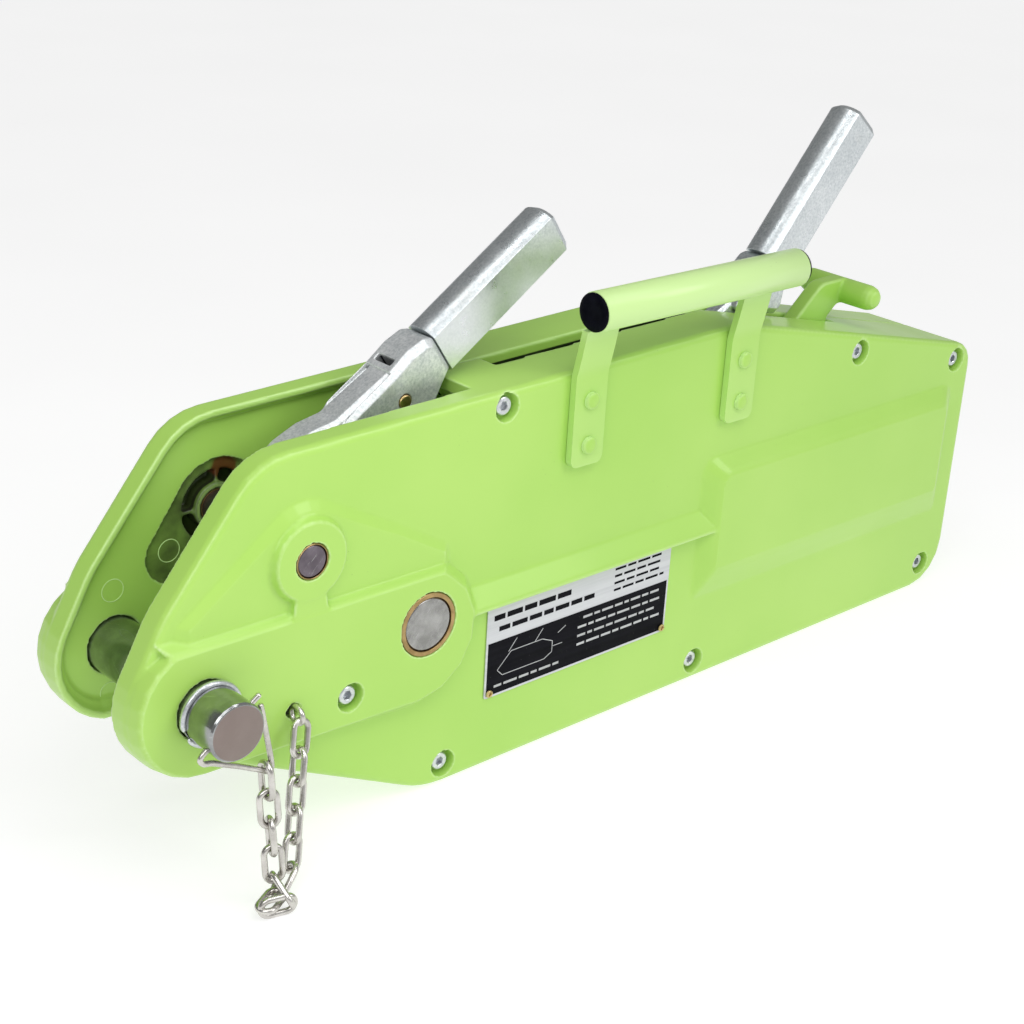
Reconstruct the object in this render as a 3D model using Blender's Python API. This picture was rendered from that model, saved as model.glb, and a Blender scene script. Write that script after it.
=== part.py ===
"""Wire-rope pulling hoist (come-along winch): the design, one object for each sub-part.

Units: every dimension below is in millimetres and is turned into metres when a mesh is made.
Frame: +X along the hoist towards the rope inlet, +Z up, Y=0 on the middle plane, Z=0 at the casing's foot.
"""
import math

import bmesh
import bpy
from mathutils import Vector

MM = 0.001
GAP = 0.3

# Driving dimensions of the casing
FACE_Y = 42.0
BOSS_Y = 50.0
RIM_Y = 26.5
WALL = 8.0
SLOT_HALF = 7.0
EDGE = 3.6
X_END = 331.0
FOOT_Z = 0.0
OPEN_X = -111.0
FLOOR_START_X = -232.0
NOSE_OPENING = ((-400.0, -30.0), (FLOOR_START_X, -30.0), (FLOOR_START_X, 60.0), (OPEN_X, 150.0),
                (OPEN_X, 300.0), (-400.0, 300.0))
RIM_LIP = 2.9
WEDGE_H = 3.4

# Driving axes, all along Y
PIN = (-292.9, 104.4)
PIN_R = 15.5
NOSE_R = 38.5
MAIN = (-153.4, 108.7)
MAIN_R = 15.3
MAIN_BUSH_R = 18.3
PIVOT = (-229.7, 166.2)
PIVOT_R = 8.6
PIVOT_BUSH_R = 9.6
REVERSE = (88.0, 170.0)
REVERSE_R = 9.0

# Levers
LEVER_ANGLE = math.radians(34.2)
REVERSE_ANGLE = math.radians(50.1)
BAR_R = 16.0
BAR_HALF = 11.0
HUB_R = 21.0
LOBE_R = 9.0
CHEEK_IN = 10.2
CHEEK_OUT = 16.0
ARM_HALF = 9.2
ARM_EYE_R = 16.0
HEAD_HALF = 13.5
HEAD_CHAMFER = 3.8
HEAD_END = 135.0
REVERSE_HEAD_END = 102.0
DRIVE_R = 25.0
DRIVE_PIN_R = 4.5

# Rope line and jaws
ROPE_Z = 141.0
ROPE_HALF = 7.5
ROCKER_ARM = 40.0
ROCKER_REST = math.radians(11.27)
REAR_JAW = (-72.0, 18.0)
FRONT_JAW = (168.0, 258.0)

# Carrying handle
HANDLE_Y = -56.0
HANDLE_Z = 266.0
HANDLE_R = 11.2
HANDLE_X = (-52.0, 112.0)
STRAP_X = (-40.8, 85.0)
STRAP_W = 24.0
STRAP_T = 4.5

# Locking clip and chain
CLIP_Y = -70.0
CLIP_WIRE = 1.5
CHAIN_WIRE = 1.65
CHAIN_HALF_WIDTH = 4.1
LINK_BITE = 0.3
CHAIN_EYE = (-240.8, -56.5, 84.2)

SCREWS = ((-97.9, 217.3), (204.9, 192.5), (313.5, 167.5), (307.6, 17.0), (72.6, 12.6), (-132.5, 12.2))
ARM_SCREW = (-204.6, 81.7)
SINK_R = 8.0
SINK_DEPTH = 7.5
SCREW_HEAD_R = 5.4
POST_R = 8.6
RECESS = 2.5
RING_R = 20.4

COLOURS = {
    "lime_paint": ((0.40, 0.72, 0.13), 0.28, 0.0),
    "zinc": ((0.62, 0.66, 0.68), 0.35, 1.0),
    "polished_steel": ((0.72, 0.73, 0.74), 0.18, 1.0),
    "dark_steel": ((0.20, 0.19, 0.20), 0.40, 1.0),
    "bronze": ((0.45, 0.33, 0.16), 0.45, 1.0),
    "brass": ((0.60, 0.45, 0.22), 0.35, 1.0),
    "black_plastic": ((0.012, 0.012, 0.014), 0.45, 0.0),
    "name_plate": ((0.05, 0.05, 0.06), 0.40, 0.0),
}


# ---------------------------------------------------------------- outlines
def rounded(corners, steps=4):
    """Closed outline from corners (x, z, radius), each rounded with an arc of the given steps."""
    points = []
    count = len(corners)
    for i, (x, z, radius) in enumerate(corners):
        here = Vector((x, z))
        back = (Vector(corners[i - 1][:2]) - here).normalized()
        ahead = (Vector(corners[(i + 1) % count][:2]) - here).normalized()
        if radius <= 0.0:
            points.append((x, z))
            continue
        half = back.angle(ahead) / 2.0
        reach = radius / math.tan(half)
        centre = here + (back + ahead).normalized() * (radius / math.sin(half))
        start = here + back * reach - centre
        sweep = math.pi - 2.0 * half
        turn = 1.0 if back.cross(ahead) < 0.0 else -1.0
        for k in range(steps + 1):
            angle = turn * sweep * k / steps
            c, s = math.cos(angle), math.sin(angle)
            points.append((centre.x + start.x * c - start.y * s, centre.y + start.x * s + start.y * c))
    return points


def circle(centre, radius, steps=24, start=0.0):
    return [(centre[0] + radius * math.cos(start + math.tau * k / steps),
             centre[1] + radius * math.sin(start + math.tau * k / steps)) for k in range(steps)]


def area(outline):
    total = 0.0
    for (x0, z0), (x1, z1) in zip(outline, outline[1:] + outline[:1]):
        total += x0 * z1 - x1 * z0
    return total / 2.0


def inset(outline, distance):
    """Outline moved inwards by distance (outwards if negative), corner by corner."""
    sign = 1.0 if area(outline) > 0.0 else -1.0
    moved = []
    count = len(outline)
    for i in range(count):
        here = Vector(outline[i])
        before = (here - Vector(outline[i - 1])).normalized()
        after = (Vector(outline[(i + 1) % count]) - here).normalized()
        normal_a = Vector((-before.y, before.x)) * sign
        normal_b = Vector((-after.y, after.x)) * sign
        middle = (normal_a + normal_b).normalized()
        shift = middle * (distance / max(0.3, middle.dot(normal_a)))
        moved.append(tuple(here + shift))
    return moved


def polar(centre, radius, angle):
    return (centre[0] + radius * math.cos(angle), centre[1] + radius * math.sin(angle))


def along(centre, angle, run, rise):
    """Point at run along a lever's line and rise square to it."""
    u = (math.cos(angle), math.sin(angle))
    return (centre[0] + run * u[0] - rise * u[1], centre[1] + run * u[1] + rise * u[0])


# ---------------------------------------------------------------- solids
def material(name):
    if name in bpy.data.materials:
        return bpy.data.materials[name]
    colour, roughness, metallic = COLOURS[name]
    made = bpy.data.materials.new(name)
    made.use_nodes = True
    shader = made.node_tree.nodes["Principled BSDF"]
    shader.inputs["Base Color"].default_value = (*colour, 1.0)
    shader.inputs["Roughness"].default_value = roughness
    shader.inputs["Metallic"].default_value = metallic
    made.diffuse_color = (*colour, 1.0)
    return made


def finish(bm, name, slot, origin=(0.0, 0.0, 0.0), smooth=True):
    """Turn a bmesh in millimetres into an object whose origin lies at origin."""
    bmesh.ops.recalc_face_normals(bm, faces=bm.faces)
    mesh = bpy.data.meshes.new(name)
    bmesh.ops.translate(bm, verts=bm.verts, vec=-Vector(origin))
    bmesh.ops.scale(bm, verts=bm.verts, vec=(MM, MM, MM))
    bm.to_mesh(mesh)
    bm.free()
    if smooth:
        mesh.shade_smooth()
        mesh.set_sharp_from_angle(angle=math.radians(35.0))
    mesh.materials.append(material(slot))
    made = bpy.data.objects.new(name, mesh)
    made.location = Vector(origin) * MM
    bpy.context.scene.collection.objects.link(made)
    return made


def add_loft(bm, sections):
    """Closed body through sections (y, outline) that all have the same number of points."""
    rings = [[bm.verts.new((x, y, z)) for x, z in outline] for y, outline in sections]
    count = len(rings[0])
    for low, high in zip(rings, rings[1:]):
        for i in range(count):
            j = (i + 1) % count
            bm.faces.new((low[i], low[j], high[j], high[i]))
    bm.faces.new(rings[0])
    bm.faces.new(rings[-1])


def loft(name, slot, sections, origin=(0.0, 0.0, 0.0)):
    bm = bmesh.new()
    add_loft(bm, sections)
    return finish(bm, name, slot, origin)


def prism(name, slot, outline, y0, y1, chamfer=0.0, origin=(0.0, 0.0, 0.0)):
    """Extruded outline, with both ends chamfered where asked."""
    if chamfer <= 0.0:
        return loft(name, slot, [(y0, outline), (y1, outline)], origin)
    small = inset(outline, chamfer)
    return loft(name, slot, [(y0, small), (y0 + chamfer, outline), (y1 - chamfer, outline), (y1, small)],
                origin)


def add_turned(bm, centre, profile, steps=24):
    """Closed body turned about the Y line through centre, from profile points (y, radius)."""
    rings = [[bm.verts.new((x, y, z)) for x, z in circle(centre, radius, steps)] for y, radius in profile]
    for low, high in zip(rings, rings[1:]):
        for i in range(steps):
            j = (i + 1) % steps
            bm.faces.new((low[i], low[j], high[j], high[i]))
    return rings


def turned(name, slot, centre, profile, steps=24, origin=None):
    bm = bmesh.new()
    rings = add_turned(bm, centre, profile, steps)
    bm.faces.new(rings[0])
    bm.faces.new(rings[-1])
    return finish(bm, name, slot, origin or (centre[0], 0.0, centre[1]))


def ring(name, slot, centre, inner, outer, y0, y1, steps=24, edge=0.5):
    """Bush or washer: a closed turned ring."""
    profile = [(y0, inner), (y0, outer - edge), (y0 + edge, outer), (y1 - edge, outer), (y1, outer - edge),
               (y1, inner)]
    bm = bmesh.new()
    rings = add_turned(bm, centre, profile, steps)
    for i in range(steps):
        j = (i + 1) % steps
        bm.faces.new((rings[-1][i], rings[-1][j], rings[0][j], rings[0][i]))
    return finish(bm, name, slot, (centre[0], 0.0, centre[1]))


def add_box(bm, low, high):
    made = bmesh.ops.create_cube(bm, size=1.0)
    middle = (Vector(low) + Vector(high)) / 2.0
    size = Vector(high) - Vector(low)
    bmesh.ops.scale(bm, verts=made["verts"], vec=size)
    bmesh.ops.translate(bm, verts=made["verts"], vec=middle)


def box(name, slot, low, high, origin=(0.0, 0.0, 0.0)):
    bm = bmesh.new()
    add_box(bm, low, high)
    return finish(bm, name, slot, origin)


def add_wire(bm, path, radius, sides=6, closed=False):
    """Round wire along a path of points, turned with the path so that it never twists."""
    path = [Vector(p) for p in path]
    count = len(path)
    rings = []
    side = None
    for i, point in enumerate(path):
        before = path[i - 1] if (closed or i > 0) else point
        after = path[(i + 1) % count] if (closed or i < count - 1) else point
        tangent = (after - before).normalized()
        if side is None:
            side = tangent.orthogonal().normalized()
        side = (side - tangent * side.dot(tangent)).normalized()
        other = tangent.cross(side)
        rings.append([bm.verts.new(point + (side * math.cos(a) + other * math.sin(a)) * radius)
                      for a in (math.tau * k / sides for k in range(sides))])
    pairs = list(zip(rings, rings[1:])) + ([(rings[-1], rings[0])] if closed else [])
    for low, high in pairs:
        offset = 0
        if closed and high is rings[0]:
            offset = min(range(sides), key=lambda k: (low[0].co - high[k].co).length)
        for i in range(sides):
            j = (i + 1) % sides
            bm.faces.new((low[i], low[j], high[(j + offset) % sides], high[(i + offset) % sides]))
    if not closed:
        bm.faces.new(rings[0])
        bm.faces.new(rings[-1])


def cutter(made):
    made.hide_render = True
    made.display_type = "WIRE"
    return made


def boolean(target, tool, operation):
    step = target.modifiers.new(tool.name, "BOOLEAN")
    step.operation = operation
    step.solver = "EXACT"
    step.object = cutter(tool)


def cut(target, *tools):
    for tool in tools:
        boolean(target, tool, "DIFFERENCE")


def join(target, *tools):
    for tool in tools:
        boolean(target, tool, "UNION")


def parent_to(axis_name, location, *children):
    """Empty on a joint's axis that carries the pieces which move about it."""
    empty = bpy.data.objects.new(axis_name, None)
    empty.location = Vector(location) * MM
    bpy.context.scene.collection.objects.link(empty)
    for child in children:
        world = child.location.copy()
        child.parent = empty
        child.location = world - empty.location


# ---------------------------------------------------------------- casing
def casing_outline():
    """Side view of both halves of the casing, anticlockwise from the nose's top corner."""
    arc = [polar(PIN, NOSE_R, math.radians(a)) for a in range(155, 256, 12)]
    body = rounded([
        (-146.4, FOOT_Z, 60.0), (X_END, FOOT_Z, 30.0), (X_END, 175.6, 18.0),
        (86.0, 231.8, 60.0), (-255.9, 222.6, 40.0), (-309.1, 155.1, 0.0), (-313.0, 149.0, 0.0),
        (*arc[0], 0.0), (*arc[-1], 0.0), (-283.0, 67.2, 0.0),
    ])
    start = min(range(len(body)), key=lambda k: (Vector(body[k]) - Vector(arc[0])).length)
    return body[:start + 1] + arc[1:-1] + body[start + 1:]


def arm_outlines():
    """Raised arm from the nose to the main shaft: its foot on the face and its top at the boss plane."""
    nose = [math.radians(a) for a in range(120, 271, 15)]
    tail = [math.radians(a) for a in (-90, -65, -40, -15, 10, 35, 60)]
    tail_centre = (-158.0, 101.5)
    top = [(-143.0, 137.0), (-308.0, 137.0)]
    top += [polar(PIN, 36.5, a) for a in nose]
    top += [polar(tail_centre, 37.5, a) for a in tail]
    foot = [(-138.5, 142.5), (-316.0, 142.5)]
    foot += [polar(PIN, NOSE_R - 0.3, a) for a in nose]
    foot += [polar(tail_centre, 43.0, a) for a in tail]
    return foot, top


def relief(side, name, foot, top, lip=2.0):
    """Raised area with sloping sides, from just under the face to the boss plane."""
    middle = [((a[0] + 3.0 * b[0]) / 4.0, (a[1] + 3.0 * b[1]) / 4.0) for a, b in zip(foot, top)]
    sections = [(side * (FACE_Y - 3.0), foot), (side * FACE_Y, foot), (side * (BOSS_Y - lip), middle)]
    sections.append((side * BOSS_Y, inset(top, 0.8)))
    return loft(name, "lime_paint", sections)


def panel_outlines():
    """Raised panel over the jaws at the inlet end."""
    top = rounded([(75.0, 78.0, 3.0), (300.0, 77.0, 3.0), (300.0, 140.5, 6.0), (75.0, 140.5, 8.0)], 3)
    foot = rounded([(64.0, 57.5, 3.0), (312.0, 57.5, 3.0), (312.0, 151.0, 8.0), (64.0, 151.0, 10.0)], 3)
    return foot, top


def wedge_outlines():
    """Low raised wedge between the arm and the lever shaft's boss, running round over the boss."""
    angles = [math.radians(a) for a in (117, 102, 87, 72, 57)]
    foot = [(-134.0, 138.5), (-136.0, 149.2), (-166.4, 166.9)]
    foot += [polar(PIVOT, 30.8, a) for a in reversed(angles)]
    foot += [(-304.0, 148.8), (-307.0, 138.5)]
    top = [(-139.5, 138.5), (-140.0, 145.5), (-168.5, 161.8)]
    top += [polar(PIVOT, 24.6, a) for a in reversed(angles)]
    top += [(-297.6, 146.6), (-299.0, 138.5)]
    return foot, top


def add_reliefs(side, casing, tag):
    foot, top = arm_outlines()
    join(casing, relief(side, f"tool_arm_{tag}", foot, top))
    foot, top = panel_outlines()
    join(casing, relief(side, f"tool_panel_{tag}", foot, top))
    boss = turned(f"tool_boss_{tag}", "lime_paint", PIVOT, [(side * 38.0, 24.0), (side * 43.5, 24.0),
                  (side * (BOSS_Y - 1.0), 21.5), (side * BOSS_Y, 20.7)], 28)
    join(casing, boss)
    neck = prism(f"tool_neck_{tag}", "lime_paint", [(-241.0, 136.0), (-219.0, 136.0), (-221.0, 152.0),
                 (-239.0, 152.0)], side * 39.0, side * (BOSS_Y - 0.4))
    join(casing, neck)
    ledge = loft(f"tool_ledge_{tag}", "lime_paint", [
        (side * 39.0, [(-126.0, 103.5), (76.0, 103.5), (76.0, 118.5), (-126.0, 118.5)]),
        (side * FACE_Y, [(-126.0, 103.5), (76.0, 103.5), (76.0, 118.5), (-126.0, 118.5)]),
        (side * (BOSS_Y - 0.5), [(-126.0, 103.5), (76.0, 103.5), (76.0, 106.0), (-126.0, 106.0)])])
    join(casing, ledge)
    foot, top = wedge_outlines()
    join(casing, loft(f"tool_wedge_{tag}", "lime_paint", [
        (side * 39.0, foot), (side * FACE_Y, foot), (side * (FACE_Y + WEDGE_H), top)]))


def screw_places():
    return [(x, z, FACE_Y) for x, z in SCREWS] + [(*ARM_SCREW, BOSS_Y)]


def casing_half(side, name, reach):
    """One cast half: side -1 is the front half, +1 the rear half; reach is where it meets the other."""
    outline = casing_outline()
    sections = [(side * FACE_Y, inset(outline, EDGE)),
                (side * (FACE_Y - EDGE * 0.3), inset(outline, EDGE * 0.3)),
                (side * (FACE_Y - EDGE), outline), (reach, outline)]
    casing = loft(name, "lime_paint", sections)
    tag = name.split("_")[0]
    add_reliefs(side, casing, tag)
    cavity = prism(f"tool_cavity_{tag}", "lime_paint", inset(outline, WALL), side * (FACE_Y - WALL),
                   reach - side)
    nose_open = prism(f"tool_nose_{tag}", "lime_paint", NOSE_OPENING, side * RIM_Y, reach - side)
    cove = loft(f"tool_cove_{tag}", "lime_paint", [
        (side * (RIM_Y - 1.3), inset(outline, RIM_LIP)),
        (side * (RIM_Y + 4.0), inset(outline, RIM_LIP + 2.4)),
        (side * (RIM_Y + 6.6), inset(outline, RIM_LIP + 6.4)),
        (side * (FACE_Y - WALL), inset(outline, RIM_LIP + 12.0))])
    nose_box = prism(f"tool_nose_box_{tag}", "lime_paint", [(x - 1.7, z) for x, z in NOSE_OPENING],
                     side * (RIM_Y - 3.0), side * (FACE_Y + 1.0))
    boolean(cove, nose_box, "INTERSECT")
    cut(casing, cavity, nose_open, cove)
    ribbed_recess(side, tag, casing)
    pads = casing_pads(side, tag, reach)
    join(casing, *pads)
    bores = ((PIN, PIN_R + 0.6), (MAIN, MAIN_BUSH_R + GAP), (PIVOT, PIVOT_BUSH_R + GAP))
    for i, (centre, radius) in enumerate(bores):
        cut(casing, turned(f"tool_bore_{i}_{tag}", "lime_paint", centre,
                           [(side * 20.0, radius), (side * 60.0, radius)], 28))
    for i, (x, z, level) in enumerate(screw_places()):
        if side < 0.0:
            profile = [(-level - 5.0, SINK_R), (-level + SINK_DEPTH, SINK_R), (-level + SINK_DEPTH, 4.5),
                       (12.0, 4.5)]
        else:
            profile = [(2.0, 4.4), (34.0 if level == FACE_Y else 42.0, 4.4)]
        cut(casing, turned(f"tool_sink_{i}_{tag}", "lime_paint", (x, z), profile, 20))
    return casing


def ribbed_recess(side, tag, casing):
    """Shallow recess inside the nose, with a deep ribbed ring round the lever shaft's seat."""
    floor = side * (FACE_Y - WALL + RECESS)
    lower = (-257.0, 146.0)
    tilt = math.atan2(PIVOT[1] - lower[1], PIVOT[0] - lower[0])
    outline = [polar(PIVOT, 27.5, tilt + math.radians(a)) for a in range(-120, 121, 20)]
    outline += [polar(lower, 16.5, tilt + math.radians(a)) for a in range(120, 241, 20)]
    recess = prism(f"tool_recess_{tag}", "lime_paint", outline, *sorted((side * 30.0, floor)))
    well = turned(f"tool_well_{tag}", "lime_paint", PIVOT, [(side * 30.0, RING_R), (side * 45.0, RING_R)], 32)
    cut(casing, recess, well)
    top = side * (FACE_Y - WALL + 0.6)
    ring_wall = turned(f"tool_seat_{tag}", "lime_paint", PIVOT, [(top, 13.2), (side * 46.5, 13.2)], 24)
    join(casing, ring_wall)
    for i, angle in enumerate((85.0, 182.0, 268.0, 355.0)):
        rib = prism(f"tool_spoke_{i}_{tag}", "lime_paint", lever_plan(PIVOT, math.radians(angle), [
            (11.5, -1.2, 0.0), (RING_R + 1.0, -1.2, 0.0), (RING_R + 1.0, 1.2, 0.0), (11.5, 1.2, 0.0)]),
            *sorted((floor + side * 0.4, side * 46.0)))
        join(casing, rib)


def casing_pads(side, tag, reach):
    """Inside bosses: shaft seats, screw posts and the seat of the rope guide."""
    pads = []
    seat = (side * (FACE_Y - WALL + 2.0), side * (RIM_Y + 1.5))
    pads.append(turned(f"tool_main_seat_{tag}", "lime_paint", MAIN, [(seat[0], 26.0), (seat[1], 26.0)], 24))
    pads.append(turned(f"tool_reverse_seat_{tag}", "lime_paint", REVERSE,
                       [(seat[0], 17.0), (side * 24.0, 17.0)], 24))
    for i, (x, z, level) in enumerate(screw_places()):
        end = reach + side * 0.2 if level == FACE_Y else side * (RIM_Y + 1.0)
        pads.append(turned(f"tool_post_{i}_{tag}", "lime_paint", (x, z),
                           [(side * (FACE_Y - WALL + 2.0), POST_R), (end, POST_R)], 16))
    for label, x0, x1 in (("rear_jaw", -80.0, 60.0), ("front_jaw", 200.0, 300.0)):
        pads.append(box(f"tool_rib_{label}_{tag}", "lime_paint", (x0, min(side * 13.0, side * 36.0), 101.0),
                        (x1, max(side * 13.0, side * 36.0), 109.6)))
    return pads


def make_casings():
    front = casing_half(-1.0, "front_casing", SLOT_HALF)
    rear = casing_half(1.0, "rear_casing", SLOT_HALF + GAP)
    slot = box("tool_slot", "lime_paint", (-76.5, -SLOT_HALF, 165.0), (217.0, 30.0, 260.0))
    cut(front, slot)
    guide_hole = cylinder_x("tool_guide_hole", "lime_paint", (300.0, 345.0), 15.3, (0.0, ROPE_Z))
    cut(front, guide_hole)
    cut(rear, guide_hole)
    chain_hole = turned("tool_chain_hole", "lime_paint", (-240.8, 86.0), [(-60.0, 4.4), (-38.0, 4.4)], 16)
    cut(front, chain_hole)
    for casing, side in ((front, -1.0), (rear, 1.0)):
        socket = turned(f"tool_socket_{casing.name}", "lime_paint", REVERSE,
                        [(side * 20.0, REVERSE_R + GAP), (side * 36.0, REVERSE_R + GAP)], 24)
        cut(casing, socket)


def cylinder_x(name, slot, span, radius, centre, steps=24):
    bm = bmesh.new()
    rings = [[bm.verts.new((x, centre[0] + radius * math.cos(a), centre[1] + radius * math.sin(a)))
              for a in (math.tau * k / steps for k in range(steps))] for x in span]
    for i in range(steps):
        j = (i + 1) % steps
        bm.faces.new((rings[0][i], rings[0][j], rings[1][j], rings[1][i]))
    bm.faces.new(rings[0])
    bm.faces.new(rings[1])
    return finish(bm, name, slot)


def cap_screw(name, x, z, level, end):
    """Cylinder-head screw with a hexagon-like socket, its head down in the counterbore."""
    seat = -level + SINK_DEPTH - GAP
    profile = [(seat - 1.6, 2.4), (seat - 4.2, 2.4), (seat - 4.2, SCREW_HEAD_R - 0.7),
               (seat - 3.5, SCREW_HEAD_R),
               (seat, SCREW_HEAD_R), (seat, 4.0), (end, 4.0)]
    return turned(name, "zinc", (x, z), profile, 16)


def make_screws():
    """Seven screws pass through the front half and thread into the rear half."""
    for i, (x, z, level) in enumerate(screw_places()):
        cap_screw(f"casing_screw_{i + 1}", x, z, level, 33.0 if level == FACE_Y else 41.0)


# ---------------------------------------------------------------- shafts and pin
def make_shafts():
    end = BOSS_Y - 0.6
    turned("main_shaft", "polished_steel", MAIN, [(-end, MAIN_R - 0.8), (-end + 0.8, MAIN_R),
           (end - 0.8, MAIN_R), (end, MAIN_R - 0.8)], 28)
    turned("lever_shaft", "dark_steel", PIVOT, [(-end, PIVOT_R - 0.6), (-end + 0.6, PIVOT_R),
           (end - 0.6, PIVOT_R), (end, PIVOT_R - 0.6)], 24)
    for side, tag in ((-1.0, "front"), (1.0, "rear")):
        outer = side * (BOSS_Y - 0.2)
        y0, y1 = sorted((outer, side * (RIM_Y + 2.0)))
        ring(f"main_bush_{tag}", "bronze", MAIN, MAIN_R + 0.35, MAIN_BUSH_R, y0, y1, 28)
        y0, y1 = sorted((outer, side * (FACE_Y - WALL + 1.0)))
        ring(f"lever_bush_{tag}", "bronze", PIVOT, PIVOT_R + 0.3, PIVOT_BUSH_R, y0, y1, 24, 0.3)


def clip_axes():
    """Direction of the clip's straight leg through the pin, and the direction square to it, downwards."""
    angle = math.radians(34.2)
    leg = Vector((math.cos(angle), 0.0, math.sin(angle)))
    down = Vector((math.sin(angle), 0.0, -math.cos(angle)))
    return leg, down


def make_anchor_pin():
    pin = turned("anchor_pin", "polished_steel", PIN, [
        (-78.0, PIN_R - 1.2), (-76.8, PIN_R), (-56.6, PIN_R), (-56.6, PIN_R - 1.4), (-53.4, PIN_R - 1.4),
        (-53.4, PIN_R), (BOSS_Y + GAP, PIN_R), (BOSS_Y + GAP, 20.0), (BOSS_Y + 4.5, 20.0),
        (BOSS_Y + 5.5, 19.0)], 32)
    leg, _ = clip_axes()
    centre = Vector((PIN[0], CLIP_Y, PIN[1]))
    bm = bmesh.new()
    add_wire(bm, [centre - leg * 22.0, centre + leg * 22.0], CLIP_WIRE + 0.6, 10)
    cut(pin, finish(bm, "tool_cross_hole", "polished_steel"))
    bm = bmesh.new()
    loop = [(x, -55.0, z) for x, z in circle(PIN, PIN_R + 0.5, 28)]
    add_wire(bm, loop, 1.45, 8, closed=True)
    finish(bm, "pin_snap_ring", "zinc", (PIN[0], 0.0, PIN[1]))


def clip_path():
    """Bent wire: the straight leg through the pin, then round the triangle to its free end."""
    leg, down = clip_axes()
    centre = Vector((PIN[0], CLIP_Y, PIN[1]))

    def at(run, drop, out=0.0):
        return centre + leg * run + down * drop + Vector((0.0, out, 0.0))

    return [at(20.5, -1.8), at(19.0, 0.0), at(0.0, 0.0), at(-18.5, 0.0), at(-20.8, 1.3), at(-20.6, 4.5),
            at(-17.5, 8.0), at(-9.0, 22.5), at(-1.5, 36.5), at(0.3, 40.0), at(2.6, 39.5), at(4.3, 37.0),
            at(11.0, 22.0), at(17.5, 7.0), at(18.8, 3.6), at(20.9, 2.4)]


def make_clip():
    leg, _ = clip_axes()
    bm = bmesh.new()
    add_wire(bm, clip_path(), CLIP_WIRE, 8)
    centre = Vector((PIN[0], CLIP_Y, PIN[1]))
    return finish(bm, "lock_clip", "polished_steel", centre)


# ---------------------------------------------------------------- chain
def link_loop(start, end, normal, steps=4):
    """Centre line of the link between two joints; it reaches past each joint so that links interlock."""
    run = (end - start).normalized()
    side = normal.cross(run).normalized()
    reach = (end - start).length / 2.0 + CHAIN_WIRE - LINK_BITE
    middle = (start + end) / 2.0
    straight = reach - CHAIN_HALF_WIDTH
    loop = []
    for sign in (1.0, -1.0):
        for k in range(steps + 1):
            angle = -math.pi / 2.0 + math.pi * k / steps
            loop.append(middle + (run * (straight + CHAIN_HALF_WIDTH * math.cos(angle))
                                  + side * CHAIN_HALF_WIDTH * math.sin(angle)) * sign)
    return loop


def chain_joints():
    """Points where links meet: down from the eye on the casing, over the floor, and up to the clip."""
    leg, down = clip_axes()
    top = Vector((*CHAIN_EYE[:2], CHAIN_EYE[2] - 2.2))
    foot = Vector((-260.5, -75.5, 14.5))
    joints = [top.lerp(foot, k / 5.0) for k in range(6)]
    joints += [Vector((-271.5, -80.0, 6.2)), Vector((-284.5, -87.0, 6.0)), Vector((-271.0, -90.5, 6.2))]
    corner = Vector((PIN[0], CLIP_Y, PIN[1])) + leg * 1.5 + down * 34.9 - Vector((0.0, 0.0, 1.5))
    lowest = Vector((-272.2, -78.0, 14.8))
    return joints + [lowest.lerp(corner, k / 4.0) for k in range(5)]


def make_chain():
    """The chain is one flexible piece: every second link in one mesh, the rest united with it."""
    joints = chain_joints()
    last = len(joints) - 2
    groups = (bmesh.new(), bmesh.new())
    previous = Vector((0.0, 1.0, 0.0))
    for i, (start, end) in enumerate(zip(joints, joints[1:])):
        run = (end - start).normalized()
        normal = run.cross(previous) if i else previous
        normal = (normal - run * normal.dot(run)).normalized()
        if i == last:
            normal = Vector((1.0, 0.0, 0.0))
        add_wire(groups[i % 2], link_loop(start, end, normal), CHAIN_WIRE, 6, closed=True)
        previous = normal
    chain = finish(groups[0], "pin_chain", "polished_steel")
    join(chain, finish(groups[1], "tool_chain", "polished_steel"))
    x, y, z = CHAIN_EYE
    stud = turned("chain_eye", "zinc", (x, 86.0), [(-43.0, 3.8), (-50.3, 3.8), (-50.3, 5.4), (-52.0, 5.4),
                                                   (-52.6, 4.4)],
                  16)
    bm = bmesh.new()
    turns = [math.tau * k / 14 for k in range(14)]
    add_wire(bm, [(x, y + 4.6 * math.cos(a), z + 4.6 * math.sin(a)) for a in turns],
             1.3, 8, closed=True)
    join(stud, finish(bm, "tool_chain_eye", "zinc"))


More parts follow.
